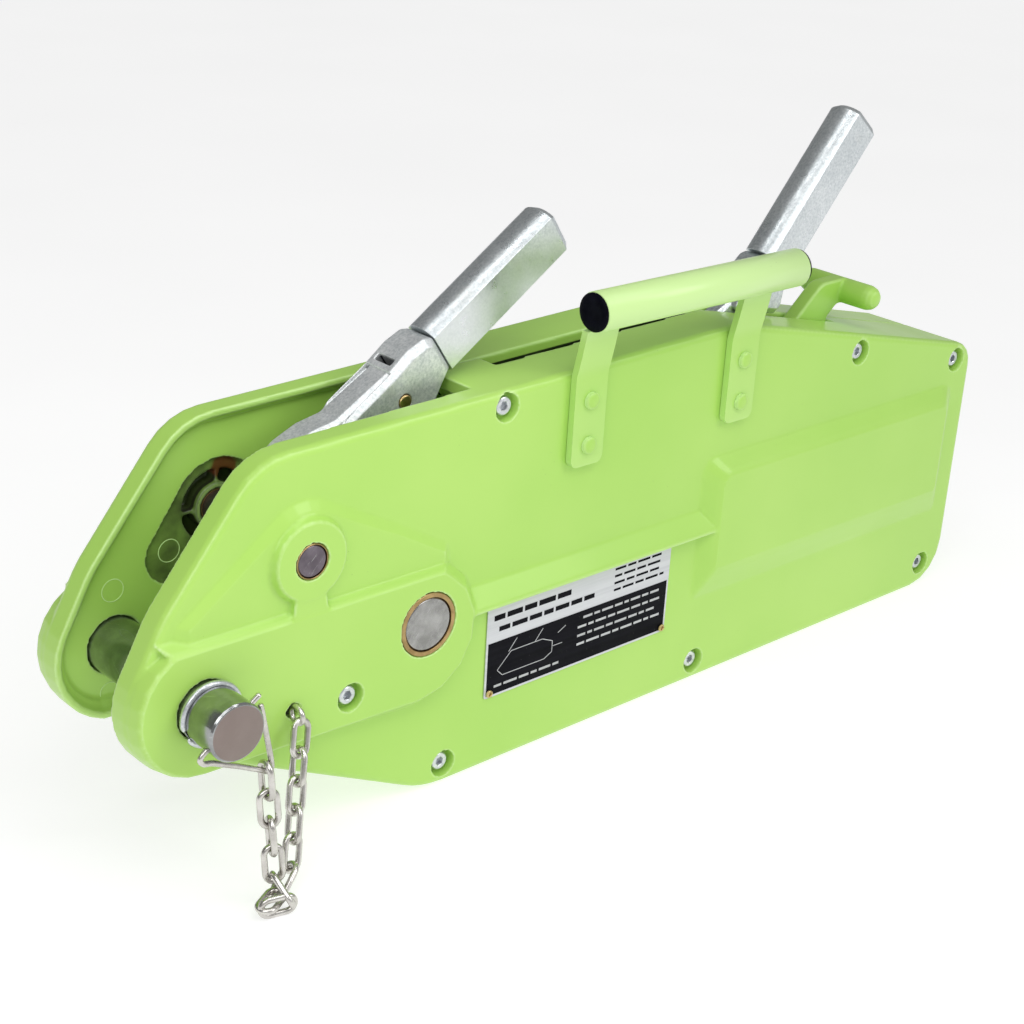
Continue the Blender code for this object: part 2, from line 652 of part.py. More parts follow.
# ---------------------------------------------------------------- carrying handle
def make_handle():
    length = HANDLE_X
    bm = bmesh.new()
    rings = []
    for x, radius in ((length[0], HANDLE_R - 1.6), (length[0], HANDLE_R), (length[1], HANDLE_R),
                      (length[1], HANDLE_R - 1.6)):
        rings.append([bm.verts.new((x, HANDLE_Y + radius * math.cos(a), HANDLE_Z + radius * math.sin(a)))
                      for a in (math.tau * k / 24 for k in range(24))])
    for low, high in zip(rings, rings[1:] + rings[:1]):
        for i in range(24):
            j = (i + 1) % 24
            bm.faces.new((low[i], low[j], high[j], high[i]))
    finish(bm, "handle_tube", "lime_paint")
    for tag, x0, direction in (("front", length[0], -1.0), ("rear", length[1], 1.0)):
        cap = bmesh.new()
        profile = [(x0 - direction * 14.0, HANDLE_R - 2.1), (x0 + direction * GAP, HANDLE_R - 2.1),
                   (x0 + direction * GAP, HANDLE_R - 0.5), (x0 + direction * 1.4, HANDLE_R - 0.5),
                   (x0 + direction * 2.4, HANDLE_R - 3.0)]
        shells = [[cap.verts.new((x, HANDLE_Y + r * math.cos(a), HANDLE_Z + r * math.sin(a)))
                   for a in (math.tau * k / 20 for k in range(20))] for x, r in profile]
        for low, high in zip(shells, shells[1:]):
            for i in range(20):
                j = (i + 1) % 20
                cap.faces.new((low[i], low[j], high[j], high[i]))
        cap.faces.new(shells[0])
        cap.faces.new(shells[-1])
        finish(cap, f"handle_cap_{tag}", "black_plastic")
    make_straps()


def make_straps():
    for tag, x in (("front", STRAP_X[0]), ("rear", STRAP_X[1])):
        half = STRAP_W / 2.0
        bm = bmesh.new()
        foot = [(x + half * math.cos(a), 185.0 + half * math.sin(a))
                for a in (math.pi + math.pi * k / 8 for k in range(9))]
        near, far = -FACE_Y - GAP - STRAP_T, -FACE_Y - GAP
        profile = [(near, far, z) for z in (226.0,)] + [(near - 3.2, far - 3.2, 240.0),
                                                        (near - 6.0, far - 6.0, HANDLE_Z - HANDLE_R - 0.9)]
        front = [bm.verts.new((px, near, pz)) for px, pz in foot]
        back = [bm.verts.new((px, far, pz)) for px, pz in foot]
        levels = []
        for near_y, far_y, z in profile:
            levels.append([bm.verts.new((x + half, near_y, z)), bm.verts.new((x + half, far_y, z)),
                           bm.verts.new((x - half, far_y, z)), bm.verts.new((x - half, near_y, z))])
        for i in range(len(foot) - 1):
            bm.faces.new((front[i], front[i + 1], back[i + 1], back[i]))
        first = levels[0]
        bm.faces.new(front + [first[0], first[3]])
        bm.faces.new(back + [first[1], first[2]])
        bm.faces.new((front[-1], back[-1], first[1], first[0]))
        bm.faces.new((front[0], back[0], first[2], first[3]))
        for low, high in zip(levels, levels[1:]):
            for i in range(4):
                j = (i + 1) % 4
                bm.faces.new((low[i], low[j], high[j], high[i]))
        bm.faces.new(levels[-1])
        finish(bm, f"handle_strap_{tag}", "lime_paint")
        for label, z in (("lower", 185.4), ("upper", 211.6)):
            y = near - GAP
            turned(f"handle_rivet_{tag}_{label}", "lime_paint", (x, z),
                   [(y, 5.0), (y - 1.4, 5.0), (y - 2.5, 3.8), (y - 3.0, 1.4)], 14)


# ---------------------------------------------------------------- name plate
def make_plate():
    y = -FACE_Y - GAP
    box("name_plate", "name_plate", (-105.0, y - 0.7, 44.0), (41.0, y, 103.0))
    for tag, x in (("left", -101.6), ("right", 37.8)):
        turned(f"plate_rivet_{tag}", "brass", (x, 47.0),
               [(y - 0.7 - GAP, 2.3), (y - 1.5 - GAP, 2.3), (y - 2.0 - GAP, 1.2)], 12)


# ---------------------------------------------------------------- levers
def bar_sections(centre, angle, stations):
    """Round bar with two milled flats, as rings along the lever: stations are (run, scale)."""
    flat = math.asin(BAR_HALF / BAR_R)
    ring_points = []
    top = [math.pi / 2.0 - flat + 2.0 * flat * k / 8 for k in range(9)]
    for a in top:
        ring_points.append((BAR_R * math.cos(a), BAR_R * math.sin(a)))
    for a in top:
        ring_points.append((-BAR_R * math.cos(a), -BAR_R * math.sin(a)))
    rings = []
    for run, scale in stations:
        ring_here = []
        for y, rise in ring_points:
            x, z = along(centre, angle, run, rise * scale)
            ring_here.append((x, y * scale, z))
        rings.append(ring_here)
    return rings


def make_bar(name, centre, angle, start, end):
    bm = bmesh.new()
    stations = ((start, 1.0), (end - 3.0, 1.0), (end, 0.82))
    rings = [[bm.verts.new(p) for p in ring_here] for ring_here in bar_sections(centre, angle, stations)]
    count = len(rings[0])
    for low, high in zip(rings, rings[1:]):
        for i in range(count):
            j = (i + 1) % count
            bm.faces.new((low[i], low[j], high[j], high[i]))
    bm.faces.new(rings[0])
    bm.faces.new(rings[-1])
    return finish(bm, name, "zinc", (centre[0], 0.0, centre[1]))


def lever_plan(centre, angle, corners):
    """Outline from (run, rise, radius) corners along a lever."""
    return rounded([(*along(centre, angle, run, rise), radius) for run, rise, radius in corners], 3)


def chamfered(name, centre, angle, corners, half, chamfer, origin):
    """Forging of the given half width whose whole outline is chamfered on both sides."""
    count = len(corners)
    pulled = inset([(run, rise) for run, rise, _ in corners], chamfer)
    tighter = [(*pulled[i], min(corners[i][2], 0.4)) for i in range(count)]
    small = lever_plan(centre, angle, tighter)
    full = lever_plan(centre, angle, corners)
    return loft(name, "zinc", [(-half, small), (chamfer - half, full), (half - chamfer, full), (half, small)],
                origin)


def head_corners(end):
    """Outline of a lever head's upper part as (run, rise, radius), from under its end round to the top."""
    return [(end - 17.0, -19.5, 6.0), (end - 8.0, -14.5, 4.0), (end, -10.5, 2.0), (end, 12.0, 3.0),
            (end - 4.5, 15.8, 4.0),
            (end - 16.0, 17.6, 8.0)]


def lever_arm(name, centre, angle, end, half, origin):
    """Inner arm from the hub up into the head, thicker where it leaves the hub."""
    return chamfered(name, centre, angle, [
        (0.0, -15.5, 0.0), (end, -15.0, 0.0), (end, 15.0, 0.0), (66.0, 17.6, 6.0), (52.0, 23.6, 12.0),
        (36.0, 26.6, 14.0),
        (20.0, 24.5, 12.0), (0.0, 18.0, 0.0)], half, 2.2, origin)


def make_forward_lever():
    origin = (PIVOT[0], 0.0, PIVOT[1])
    bar = make_bar("forward_lever_bar", PIVOT, LEVER_ANGLE, HEAD_END + 0.4, 234.0)
    casting = chamfered("forward_lever_head", PIVOT, LEVER_ANGLE, [
        (6.0, -18.0, 0.0), (60.0, -20.0, 6.0), (98.0, -22.5, 6.0), *head_corners(HEAD_END),
        (105.0, 16.6, 6.0),
        (74.0, 16.8, 10.0), (40.0, 6.0, 12.0), (6.0, 16.0, 0.0)], HEAD_HALF, HEAD_CHAMFER, origin)
    hub = turned("tool_hub_forward", "zinc", PIVOT, [(-CHEEK_OUT, HUB_R - 1.5), (-CHEEK_OUT + 1.5, HUB_R),
                 (CHEEK_OUT - 1.5, HUB_R), (CHEEK_OUT, HUB_R - 1.5)], 28, origin)
    drive = polar(PIVOT, DRIVE_R, math.radians(-72.0))
    lobe = turned("tool_lobe_forward", "zinc", drive, [(-CHEEK_OUT, LOBE_R), (CHEEK_OUT, LOBE_R)], 20, origin)
    join(casting, hub, lobe)
    fork = prism("tool_fork_forward", "zinc", lever_plan(PIVOT, LEVER_ANGLE, [
        (-60.0, -60.0, 0.0), (104.0, -60.0, 0.0), (104.0, 60.0, 0.0), (-60.0, 60.0, 0.0)]), -CHEEK_IN,
        CHEEK_IN, 0.0, origin)
    cut(casting, fork)
    join(casting, lever_arm("tool_arm_forward", PIVOT, LEVER_ANGLE, 104.6, ARM_HALF, origin))
    eye = turned("tool_eye_forward", "zinc", PIVOT, [(-ARM_HALF, ARM_EYE_R), (ARM_HALF, ARM_EYE_R)], 28,
                 origin)
    join(casting, eye)
    bore = turned("tool_bore_forward", "zinc", PIVOT, [(-30.0, PIVOT_R + GAP), (30.0, PIVOT_R + GAP)], 24,
                  origin)
    window = prism("tool_window_forward", "zinc", lever_plan(PIVOT, LEVER_ANGLE, [
        (107.6, 3.0, 0.0), (111.9, 3.0, 0.0), (111.9, 40.0, 0.0), (107.6, 40.0, 0.0)]), -6.8, 6.8, 0.0,
        origin)
    shear = turned("tool_shear_forward", "zinc", along(PIVOT, LEVER_ANGLE, 101.5, -2.2),
                   [(-20.0, 4.4), (20.0, 4.4)], 14, origin)
    cut(casting, bore, window, shear)
    pin = turned("shear_pin", "brass", along(PIVOT, LEVER_ANGLE, 101.5, -2.2),
                 [(-14.2, 3.4), (-13.6, 4.0), (13.6, 4.0), (14.2, 3.4)], 14, origin)
    pins = []
    for side, tag in ((-1.0, "front"), (1.0, "rear")):
        pins.append(turned(f"drive_pin_{tag}", "dark_steel", drive,
                           [(side * (CHEEK_IN + 0.3), DRIVE_PIN_R), (side * 22.0, DRIVE_PIN_R)], 14, origin))
        seat = turned(f"tool_drive_seat_{tag}", "zinc", drive,
                      [(side * (CHEEK_IN - 0.6), DRIVE_PIN_R + GAP), (side * 30.0, DRIVE_PIN_R + GAP)], 14,
                      origin)
        cut(casting, seat)
    parent_to("forward_lever_axis", origin, bar, casting, pin, *pins)


def make_reverse_lever():
    origin = (REVERSE[0], 0.0, REVERSE[1])
    bar = make_bar("reverse_lever_bar", REVERSE, REVERSE_ANGLE, REVERSE_HEAD_END + 0.4, 211.6)
    casting = chamfered("reverse_lever_head", REVERSE, REVERSE_ANGLE, [
        (60.0, 16.5, 3.0), (78.8, -18.5, 3.0), *head_corners(REVERSE_HEAD_END)], HEAD_HALF, HEAD_CHAMFER,
        origin)
    hub = turned("tool_hub_reverse", "zinc", REVERSE, [(-6.0, 19.0), (6.0, 19.0)], 24, origin)
    join(casting, lever_arm("tool_arm_reverse", REVERSE, REVERSE_ANGLE, 80.0, 6.0, origin), hub)
    bore = turned("tool_bore_reverse", "zinc", REVERSE, [(-30.0, REVERSE_R + GAP), (30.0, REVERSE_R + GAP)],
                  20, origin)
    shear = turned("tool_shear_reverse", "zinc", along(REVERSE, REVERSE_ANGLE, 78.0, -1.0),
                   [(-20.0, 4.4), (20.0, 4.4)], 14, origin)
    cut(casting, bore, shear)
    pin = turned("reverse_shear_pin", "brass", along(REVERSE, REVERSE_ANGLE, 78.0, -1.0),
                 [(-14.2, 3.4), (-13.6, 4.0), (13.6, 4.0), (14.2, 3.4)], 14, origin)
    cheeks = [turned("reverse_shaft", "dark_steel", REVERSE, [(-33.5, REVERSE_R - 1.0), (-32.5, REVERSE_R),
                     (32.5, REVERSE_R), (33.5, REVERSE_R - 1.0)], 20, origin)]
    for side, tag in ((-1.0, "front"), (1.0, "rear")):
        plan = rounded([(REVERSE[0] - 14.0, REVERSE[1] + 14.0, 13.0), (REVERSE[0] - 14.0, 126.0, 12.0),
                        (REVERSE[0] + 14.0, 126.0, 12.0), (REVERSE[0] + 14.0, REVERSE[1] + 14.0, 13.0)], 4)
        cheek = prism(f"reverse_crank_{tag}", "dark_steel", plan, side * 11.0, side * 16.0, 0.0, origin)
        hole = turned(f"tool_crank_hole_{tag}", "zinc", REVERSE,
                      [(side * 5.0, REVERSE_R + GAP), (side * 30.0, REVERSE_R + GAP)], 20, origin)
        cut(cheek, hole)
        cheeks.append(cheek)
    parent_to("reverse_lever_axis", origin, bar, casting, pin, *cheeks)


# ---------------------------------------------------------------- rocker, rods and jaws
def make_rocker():
    """Rocker on the main shaft: forked arms that the lever's drive pins push, and pins for the jaw rods."""
    origin = (MAIN[0], 0.0, MAIN[1])
    fork_angle = math.radians(154.27)
    moving = []
    hub = ring("rocker_hub", "dark_steel", MAIN, MAIN_R + GAP, 22.0, -17.0, 17.0, 24)
    moving.append(hub)
    for side, tag in ((-1.0, "front"), (1.0, "rear")):
        y0, y1 = sorted((side * 17.4, side * 21.6))
        plate = turned(f"rocker_{tag}", "dark_steel", MAIN, [(y0, 26.0), (y1, 26.0)], 24, origin)
        arm = prism(f"tool_fork_arm_{tag}", "dark_steel", lever_plan(MAIN, fork_angle, [
            (0.0, -12.0, 0.0), (83.0, -11.0, 3.0), (83.0, 11.0, 3.0), (0.0, 12.0, 0.0)]), y0, y1, 0.0, origin)
        up = math.pi / 2.0 + ROCKER_REST
        bar = prism(f"tool_rocker_bar_{tag}", "dark_steel", lever_plan(MAIN, up, [
            (-48.0, -9.0, 7.0), (48.0, -9.0, 7.0), (48.0, 9.0, 7.0), (-48.0, 9.0, 7.0)]), y0, y1, 0.0, origin)
        join(plate, arm, bar)
        notch = prism(f"tool_fork_notch_{tag}", "dark_steel", lever_plan(MAIN, fork_angle, [
            (64.0, -5.8, 4.0), (90.0, -5.8, 0.0), (90.0, 5.8, 0.0), (64.0, 5.8, 4.0)]), y0 - 2.0, y1 + 2.0,
            0.0, origin)
        bore = turned(f"tool_rocker_bore_{tag}", "dark_steel", MAIN,
                      [(y0 - 2.0, MAIN_R + GAP), (y1 + 2.0, MAIN_R + GAP)], 24, origin)
        cut(plate, notch, bore)
        moving.append(plate)
        for label, sign in (("upper", 1.0), ("lower", -1.0)):
            centre = polar(MAIN, sign * ROCKER_ARM, up)
            join(plate, turned(f"tool_rocker_pin_{label}_{tag}", "dark_steel", centre,
                               [(side * 19.0, 4.0), (side * 27.5, 4.0)], 14, origin))
    parent_to("rocker_axis", origin, *moving)


def rod_and_eye(name, pin_place, x_far, y0, y1):
    """Flat rod whose tall eye lets the rocker's pin rise and fall a little as it swings."""
    x, z = pin_place
    plan = rounded([(x - 10.0, z - 10.5, 5.0), (x + 10.0, z - 10.5, 5.0), (x + 12.0, z - 6.0, 0.0),
                    (x_far, z - 6.0, 0.0),
                    (x_far, z + 6.0, 0.0), (x + 12.0, z + 6.0, 0.0), (x + 10.0, z + 10.5, 5.0),
                    (x - 10.0, z + 10.5, 5.0)], 3)
    rod = prism(name, "dark_steel", plan, y0, y1)
    eye = prism(f"tool_eye_{name}", "dark_steel", rounded([(x - 4.9, z - 6.4, 4.6), (x + 4.9, z - 6.4, 4.6),
                (x + 4.9, z + 6.4, 4.6), (x - 4.9, z + 6.4, 4.6)], 4), y0 - 2.0, y1 + 2.0)
    cut(rod, eye)
    return rod


def make_jaws():
    """Two jaw sets: a lower and an upper jaw either side of the rope, between side plates with a rod each."""
    up = math.pi / 2.0 + ROCKER_REST
    for set_name, (x0, x1), sign in (("rear", REAR_JAW, 1.0), ("front", FRONT_JAW, -1.0)):
        bottom = rounded([(x0, 112.0, 4.0), (x1, 112.0, 4.0), (x1, ROPE_Z - ROPE_HALF, 3.0),
                          (x0, ROPE_Z - ROPE_HALF, 3.0)], 2)
        top = rounded([(x0 + 6.0, ROPE_Z + ROPE_HALF, 3.0), (x1 - 6.0, ROPE_Z + ROPE_HALF, 3.0),
                       (x1 - 14.0, 165.0, 3.0), (x0 + 14.0, 165.0, 3.0)], 2)
        moving = [prism(f"{set_name}_jaw_lower", "dark_steel", bottom, -12.0, 12.0, 1.0),
                  prism(f"{set_name}_jaw_upper", "dark_steel", top, -12.0, 12.0, 1.0)]
        for side, tag in ((-1.0, "front"), (1.0, "rear")):
            pin_place = polar(MAIN, sign * ROCKER_ARM, up)
            moving.append(jaw_side(f"{set_name}_jaw_side_{tag}", side, x0, x1, pin_place))
        parent_to(f"{set_name}_jaw_axis", (x0, 0.0, ROPE_Z), *moving)


def jaw_side(name, side, x0, x1, pin_place):
    """Side plate, the lug that steps outwards past the rocker, and the rod back to the rocker's pin."""
    y0, y1 = sorted((side * 12.4, side * 16.0))
    plate = prism(name, "dark_steel", rounded([(x0, 110.0, 6.0), (x1, 110.0, 6.0), (x1, 168.0, 6.0),
                                               (x0, 168.0, 6.0)], 3), y0, y1)
    z = pin_place[1]
    y0, y1 = sorted((side * 14.0, side * 24.6))
    lug = prism(f"tool_lug_{name}", "dark_steel", rounded([
        (x0 + 8.0, min(z, 116.5) - 6.0, 2.0), (x0 + 28.0, min(z, 116.5) - 6.0, 2.0),
        (x0 + 28.0, max(z, 120.0) + 6.0, 2.0), (x0 + 8.0, max(z, 120.0) + 6.0, 2.0)], 2), y0, y1)
    y0, y1 = sorted((side * 22.4, side * 26.8))
    join(plate, lug, rod_and_eye(f"tool_rod_{name}", pin_place, x0 + 30.0, y0, y1))
    return plate


def make_guides():
    """Rope guide pressed into the inlet end."""
    bm = bmesh.new()
    steps = 24
    profile = [(312.0, 9.0), (312.0, 15.0), (329.8, 15.0), (331.0, 14.2), (331.0, 12.2), (327.5, 9.0)]
    rings = [[bm.verts.new((x, r * math.cos(a), ROPE_Z + r * math.sin(a)))
              for a in (math.tau * k / steps for k in range(steps))] for x, r in profile]
    for low, high in zip(rings, rings[1:] + rings[:1]):
        for i in range(steps):
            j = (i + 1) % steps
            bm.faces.new((low[i], low[j], high[j], high[i]))
    finish(bm, "rope_guide", "bronze")


# ---------------------------------------------------------------- release handle
def make_release():
    """Release grip: a curved arm out of the slot and a cross bar with round ends."""
    arm_plan = rounded([(178.0, 173.0, 2.0), (195.5, 173.0, 2.0), (196.5, 197.6, 0.0), (213.5, 197.6, 0.0),
                        (213.5, 205.0, 3.0), (222.0, 212.0, 3.0), (236.0, 213.5, 4.0), (238.5, 221.0, 4.0),
                        (230.0, 228.8, 4.0), (205.0, 228.5, 12.0), (178.0, 205.0, 3.0)], 3)
    arm = prism("release_arm", "lime_paint", arm_plan, -5.6, 5.6, 1.0, (196.0, 0.0, 200.0))
    grip_centre = (230.0, 220.0)
    grip = turned("tool_release_bar", "lime_paint", grip_centre, [
        (-31.0, 2.0), (-30.0, 5.0), (-27.5, 7.2), (-24.0, 8.2), (24.0, 8.2), (27.5, 7.2), (30.0, 5.0),
        (31.0, 2.0)],
        20, (196.0, 0.0, 200.0))
    join(arm, grip)
    return arm


def main():
    for old in list(bpy.data.objects):
        bpy.data.objects.remove(old, do_unlink=True)
    make_casings()
    make_screws()
    make_shafts()
    make_anchor_pin()
    make_clip()
    make_chain()
    make_handle()
    make_plate()
    make_forward_lever()
    make_reverse_lever()
    make_rocker()
    make_jaws()
    make_guides()
    make_release()


main()
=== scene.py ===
"""Wire-rope pulling hoist: looks, camera and light. Lengths are in millimetres until MM is applied."""
import math

import bmesh
import bpy
from mathutils import Matrix, Vector


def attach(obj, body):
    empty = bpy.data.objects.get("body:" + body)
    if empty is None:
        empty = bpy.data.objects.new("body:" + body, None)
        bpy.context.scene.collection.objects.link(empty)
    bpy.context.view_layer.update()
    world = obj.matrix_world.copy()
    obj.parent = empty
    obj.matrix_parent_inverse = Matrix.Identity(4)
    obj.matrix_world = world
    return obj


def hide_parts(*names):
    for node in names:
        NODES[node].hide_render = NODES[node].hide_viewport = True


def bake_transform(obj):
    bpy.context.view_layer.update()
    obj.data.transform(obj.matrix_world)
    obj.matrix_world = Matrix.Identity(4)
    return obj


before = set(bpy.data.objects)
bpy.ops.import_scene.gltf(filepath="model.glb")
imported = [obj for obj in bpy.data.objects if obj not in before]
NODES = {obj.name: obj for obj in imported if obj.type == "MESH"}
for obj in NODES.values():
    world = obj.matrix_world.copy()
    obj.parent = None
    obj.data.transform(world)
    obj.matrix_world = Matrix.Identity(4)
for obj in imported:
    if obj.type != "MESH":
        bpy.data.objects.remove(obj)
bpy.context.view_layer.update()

MM = 0.001
SCENE = bpy.context.scene

# (x, z) of the axes that run along Y
PIN = (-292.9, 104.4)
MAIN = (-153.4, 108.7)
PIVOT = (-229.7, 166.2)

FACE_Y = 42.0
BOSS_Y = 50.0
PLATE_Y = -42.8
ENTRY_LAYER = (PLATE_Y, -42.89)
LINE_LAYER = (-42.9, -42.97)
CLIP_Y = -70.0
PIN_R = 15.5
LINK_HALF = 4.5
LINK_WIRE = 1.7
LINK_PAST = 1.95
LEVER_ANGLE = math.radians(34.2)
WELD_METRES = 0.00002
WINDOW_REACH = 109.75
SCREW_SINK = 7.2
SCREW_STEPS = 72
TUBE = (-56.0, 266.0)
TUBE_ENDS = (-52.0, 112.0)
STRAP_X = (("front", -40.8), ("rear", 85.0))
INNER_NODES = ("rocker_", "rear_jaw_", "front_jaw_", "reverse_crank_", "drive_pin_", "reverse_shaft")
SCREWS = ((-97.9, 217.3, FACE_Y), (204.9, 192.5, FACE_Y), (313.5, 167.5, FACE_Y), (307.6, 17.0, FACE_Y),
          (72.6, 12.6, FACE_Y), (-132.5, 12.2, FACE_Y), (-204.6, 81.7, BOSS_Y))


# ---------------------------------------------------------------- materials
class Paint:
    """One procedural material and short calls for the nodes it is made of."""

    def __init__(self, name, roughness=0.4, metallic=0.0):
        self.material = bpy.data.materials.new(name)
        self.material.use_nodes = True
        self.tree = self.material.node_tree
        self.shader = self.tree.nodes["Principled BSDF"]
        self.shader.inputs["Roughness"].default_value = roughness
        self.shader.inputs["Metallic"].default_value = metallic
        self.place = self.node("ShaderNodeTexCoord").outputs["Object"]

    def node(self, kind):
        return self.tree.nodes.new(kind)

    def put(self, socket, value):
        if isinstance(value, bpy.types.NodeSocket):
            self.tree.links.new(value, socket)
        else:
            socket.default_value = value

    def stretch(self, scale, centre=(0.0, 0.0, 0.0), turn=(0.0, 0.0, 0.0)):
        mapping = self.node("ShaderNodeMapping")
        mapping.vector_type = "TEXTURE"
        mapping.inputs["Location"].default_value = centre
        mapping.inputs["Rotation"].default_value = turn
        mapping.inputs["Scale"].default_value = scale
        self.put(mapping.inputs["Vector"], self.place)
        return mapping.outputs["Vector"]

    def noise(self, scale, detail=2.0, roughness=0.5, vector=None, distortion=0.0):
        made = self.node("ShaderNodeTexNoise")
        made.inputs["Scale"].default_value = scale
        made.inputs["Detail"].default_value = detail
        made.inputs["Roughness"].default_value = roughness
        made.inputs["Distortion"].default_value = distortion
        self.put(made.inputs["Vector"], vector or self.place)
        return made.outputs["Fac"]

    def cells(self, scale):
        made = self.node("ShaderNodeTexVoronoi")
        made.inputs["Scale"].default_value = scale
        self.put(made.inputs["Vector"], self.place)
        return made.outputs["Distance"]

    def ramp(self, value, *stops):
        made = self.node("ShaderNodeValToRGB")
        while len(made.color_ramp.elements) < len(stops):
            made.color_ramp.elements.new(0.5)
        for element, (position, colour) in zip(made.color_ramp.elements, stops):
            element.position = position
            element.color = (*colour, 1.0) if isinstance(colour, tuple) else (colour, colour, colour, 1.0)
        self.put(made.inputs["Fac"], value)
        return made.outputs["Color"]

    def maths(self, operation, a, b=0.0, c=0.0):
        made = self.node("ShaderNodeMath")
        made.operation = operation
        for socket, value in zip(made.inputs, (a, b, c)):
            self.put(socket, value)
        return made.outputs[0]

    def mix(self, factor, a, b):
        made = self.node("ShaderNodeMix")
        made.data_type = "RGBA"
        self.put(made.inputs[0], factor)
        for socket, value in ((made.inputs[6], a), (made.inputs[7], b)):
            self.put(socket, (*value, 1.0) if isinstance(value, tuple) else value)
        return made.outputs[2]

    def spread(self, value, start, end, low=0.0, high=1.0):
        """Value from start to end mapped to low to high."""
        made = self.node("ShaderNodeMapRange")
        self.put(made.inputs["Value"], value)
        for label, number in zip(("From Min", "From Max", "To Min", "To Max"), (start, end, low, high)):
            made.inputs[label].default_value = number
        return made.outputs["Result"]

    def level(self, value, low, high):
        """Noise brought to between low and high, for a roughness or a strength."""
        return self.spread(value, 0.3, 0.7, low, high)

    def edges(self, start, end):
        """1 on convex edges, 0 on flats; start above end gives 1 in hollows instead."""
        return self.spread(self.node("ShaderNodeNewGeometry").outputs["Pointiness"], start, end)

    def within(self, value, edge, fade):
        """1 below edge (metres), falling to 0 over fade; a negative fade gives 1 above edge."""
        return self.spread(value, edge + fade, edge)

    def split(self, vector=None):
        """X, Y and Z of the place, or of another vector."""
        made = self.node("ShaderNodeSeparateXYZ")
        self.put(made.inputs[0], vector or self.place)
        return made.outputs[0], made.outputs[1], made.outputs[2]

    def times(self, a, b):
        return self.maths("MULTIPLY", a, b)

    def radius(self, centre):
        """Distance in metres from the line along Y through centre (x, z)."""
        x, _, z = self.split()
        a = self.maths("SUBTRACT", x, centre[0] * MM)
        b = self.maths("SUBTRACT", z, centre[1] * MM)
        return self.maths("SQRT", self.maths("ADD", self.times(a, a), self.times(b, b)))

    def depth(self):
        """Distance from the middle plane in metres."""
        return self.maths("ABSOLUTE", self.split()[1])

    def bump(self, *layers):
        """Layers of (height, distance in mm), stacked; the last goes to the shader."""
        normal = None
        for height, distance in layers:
            made = self.node("ShaderNodeBump")
            made.inputs["Strength"].default_value = 1.0
            made.inputs["Distance"].default_value = distance * MM
            self.put(made.inputs["Height"], height)
            if normal is not None:
                self.put(made.inputs["Normal"], normal)
            normal = made.outputs["Normal"]
        self.put(self.shader.inputs["Normal"], normal)

    def finish(self, colour, roughness):
        self.put(self.shader.inputs["Base Color"], colour)
        self.put(self.shader.inputs["Roughness"], roughness)
        return self.material


def lime_paint(name="lime_paint", shaded_and_soiled=False):
    """Glossy lime enamel on a casting: slow tone drift, dust nibs, a painted highlight on convex edges and
    painted shade, uneven in strength, in the hollows.
    """
    p = Paint(name)
    colour = p.ramp(p.noise(7.0, 3.0), (0.30, (0.400, 0.690, 0.120)), (0.70, (0.455, 0.735, 0.150)))
    # painted highlight: convex edges made paler, where the rounded enamel catches the light
    colour = p.mix(p.times(p.edges(0.512, 0.56), 0.65), colour, (0.70, 0.92, 0.46))
    # painted shade: hollows and inner corners darkened, uneven in strength
    hollow = p.times(p.edges(0.49, 0.43), p.level(p.noise(45.0, 3.0), 0.15, 0.75))
    colour = p.mix(hollow, colour, (0.22, 0.44, 0.05))
    nibs = p.ramp(p.cells(260.0), (0.035, 1.0), (0.075, 0.0))
    nibs = p.times(nibs, p.ramp(p.noise(22.0, 2.0), (0.60, 0.0), (0.66, 1.0)))
    colour = p.mix(p.times(nibs, 0.45), colour, (0.12, 0.20, 0.06))
    # casing only: painted shade in the nose recess, its wells and the slot, and a brown greasy blob
    if shaded_and_soiled:
        colour = slot_shade(p, nose_shade_and_dirt(p, colour))
    smear = p.noise(14.0, 5.0, 0.6, p.stretch((1.0, 1.0, 0.45)))
    p.shader.inputs["Coat Weight"].default_value = 0.2
    p.shader.inputs["Specular IOR Level"].default_value = 0.38
    p.shader.inputs["Coat Roughness"].default_value = 0.10
    p.bump((p.noise(28.0, 2.0), 0.12), (p.noise(420.0, 2.0), 0.018), (nibs, 0.05))
    return p.finish(colour, p.level(smear, 0.30, 0.42))


def nose_shade_and_dirt(p, colour):
    """Inside the nose: painted shade, with greasy dirt, over the shallow recess round the lever shaft;
    painted shade, nearly black, in the wells; and a brown greasy blob.
    """
    depth = p.depth()
    past_wall = p.within(depth, 0.0348, -0.0004)
    short_of_boss = p.within(depth, 0.0464, 0.0004)
    near = p.within(p.radius(PIVOT), 0.0290, 0.0010)
    for centre, edge in (((-243.0, 156.0), 0.0236), ((-257.0, 146.0), 0.0178)):
        near = p.maths("MAXIMUM", near, p.within(p.radius(centre), edge, 0.0010))
    floor = p.times(past_wall, p.within(depth, 0.0392, 0.0006))
    # painted shade over the recess floor near the lever shaft, patchy, with greasy dirt
    dirt_and_shade_film = p.times(p.times(near, floor), p.level(p.noise(90.0, 4.0), 0.62, 0.92))
    colour = p.mix(dirt_and_shade_film, colour, (0.060, 0.085, 0.028))
    # painted shade: the wells round the lever shaft made nearly black
    wells = p.times(p.within(p.radius(PIVOT), 0.0206, 0.0006), p.within(depth, 0.0374, -0.0006))
    colour = p.mix(p.times(p.times(wells, short_of_boss), 0.93), colour, (0.012, 0.011, 0.008))
    blob = p.maths("ADD", p.radius((-224.0, 187.5)), p.times(p.noise(150.0, 3.0), 0.006))
    blob = p.times(p.times(p.within(blob, 0.0090, 0.0022), past_wall), short_of_boss)
    return p.mix(p.times(blob, 0.9), colour, (0.135, 0.040, 0.012))


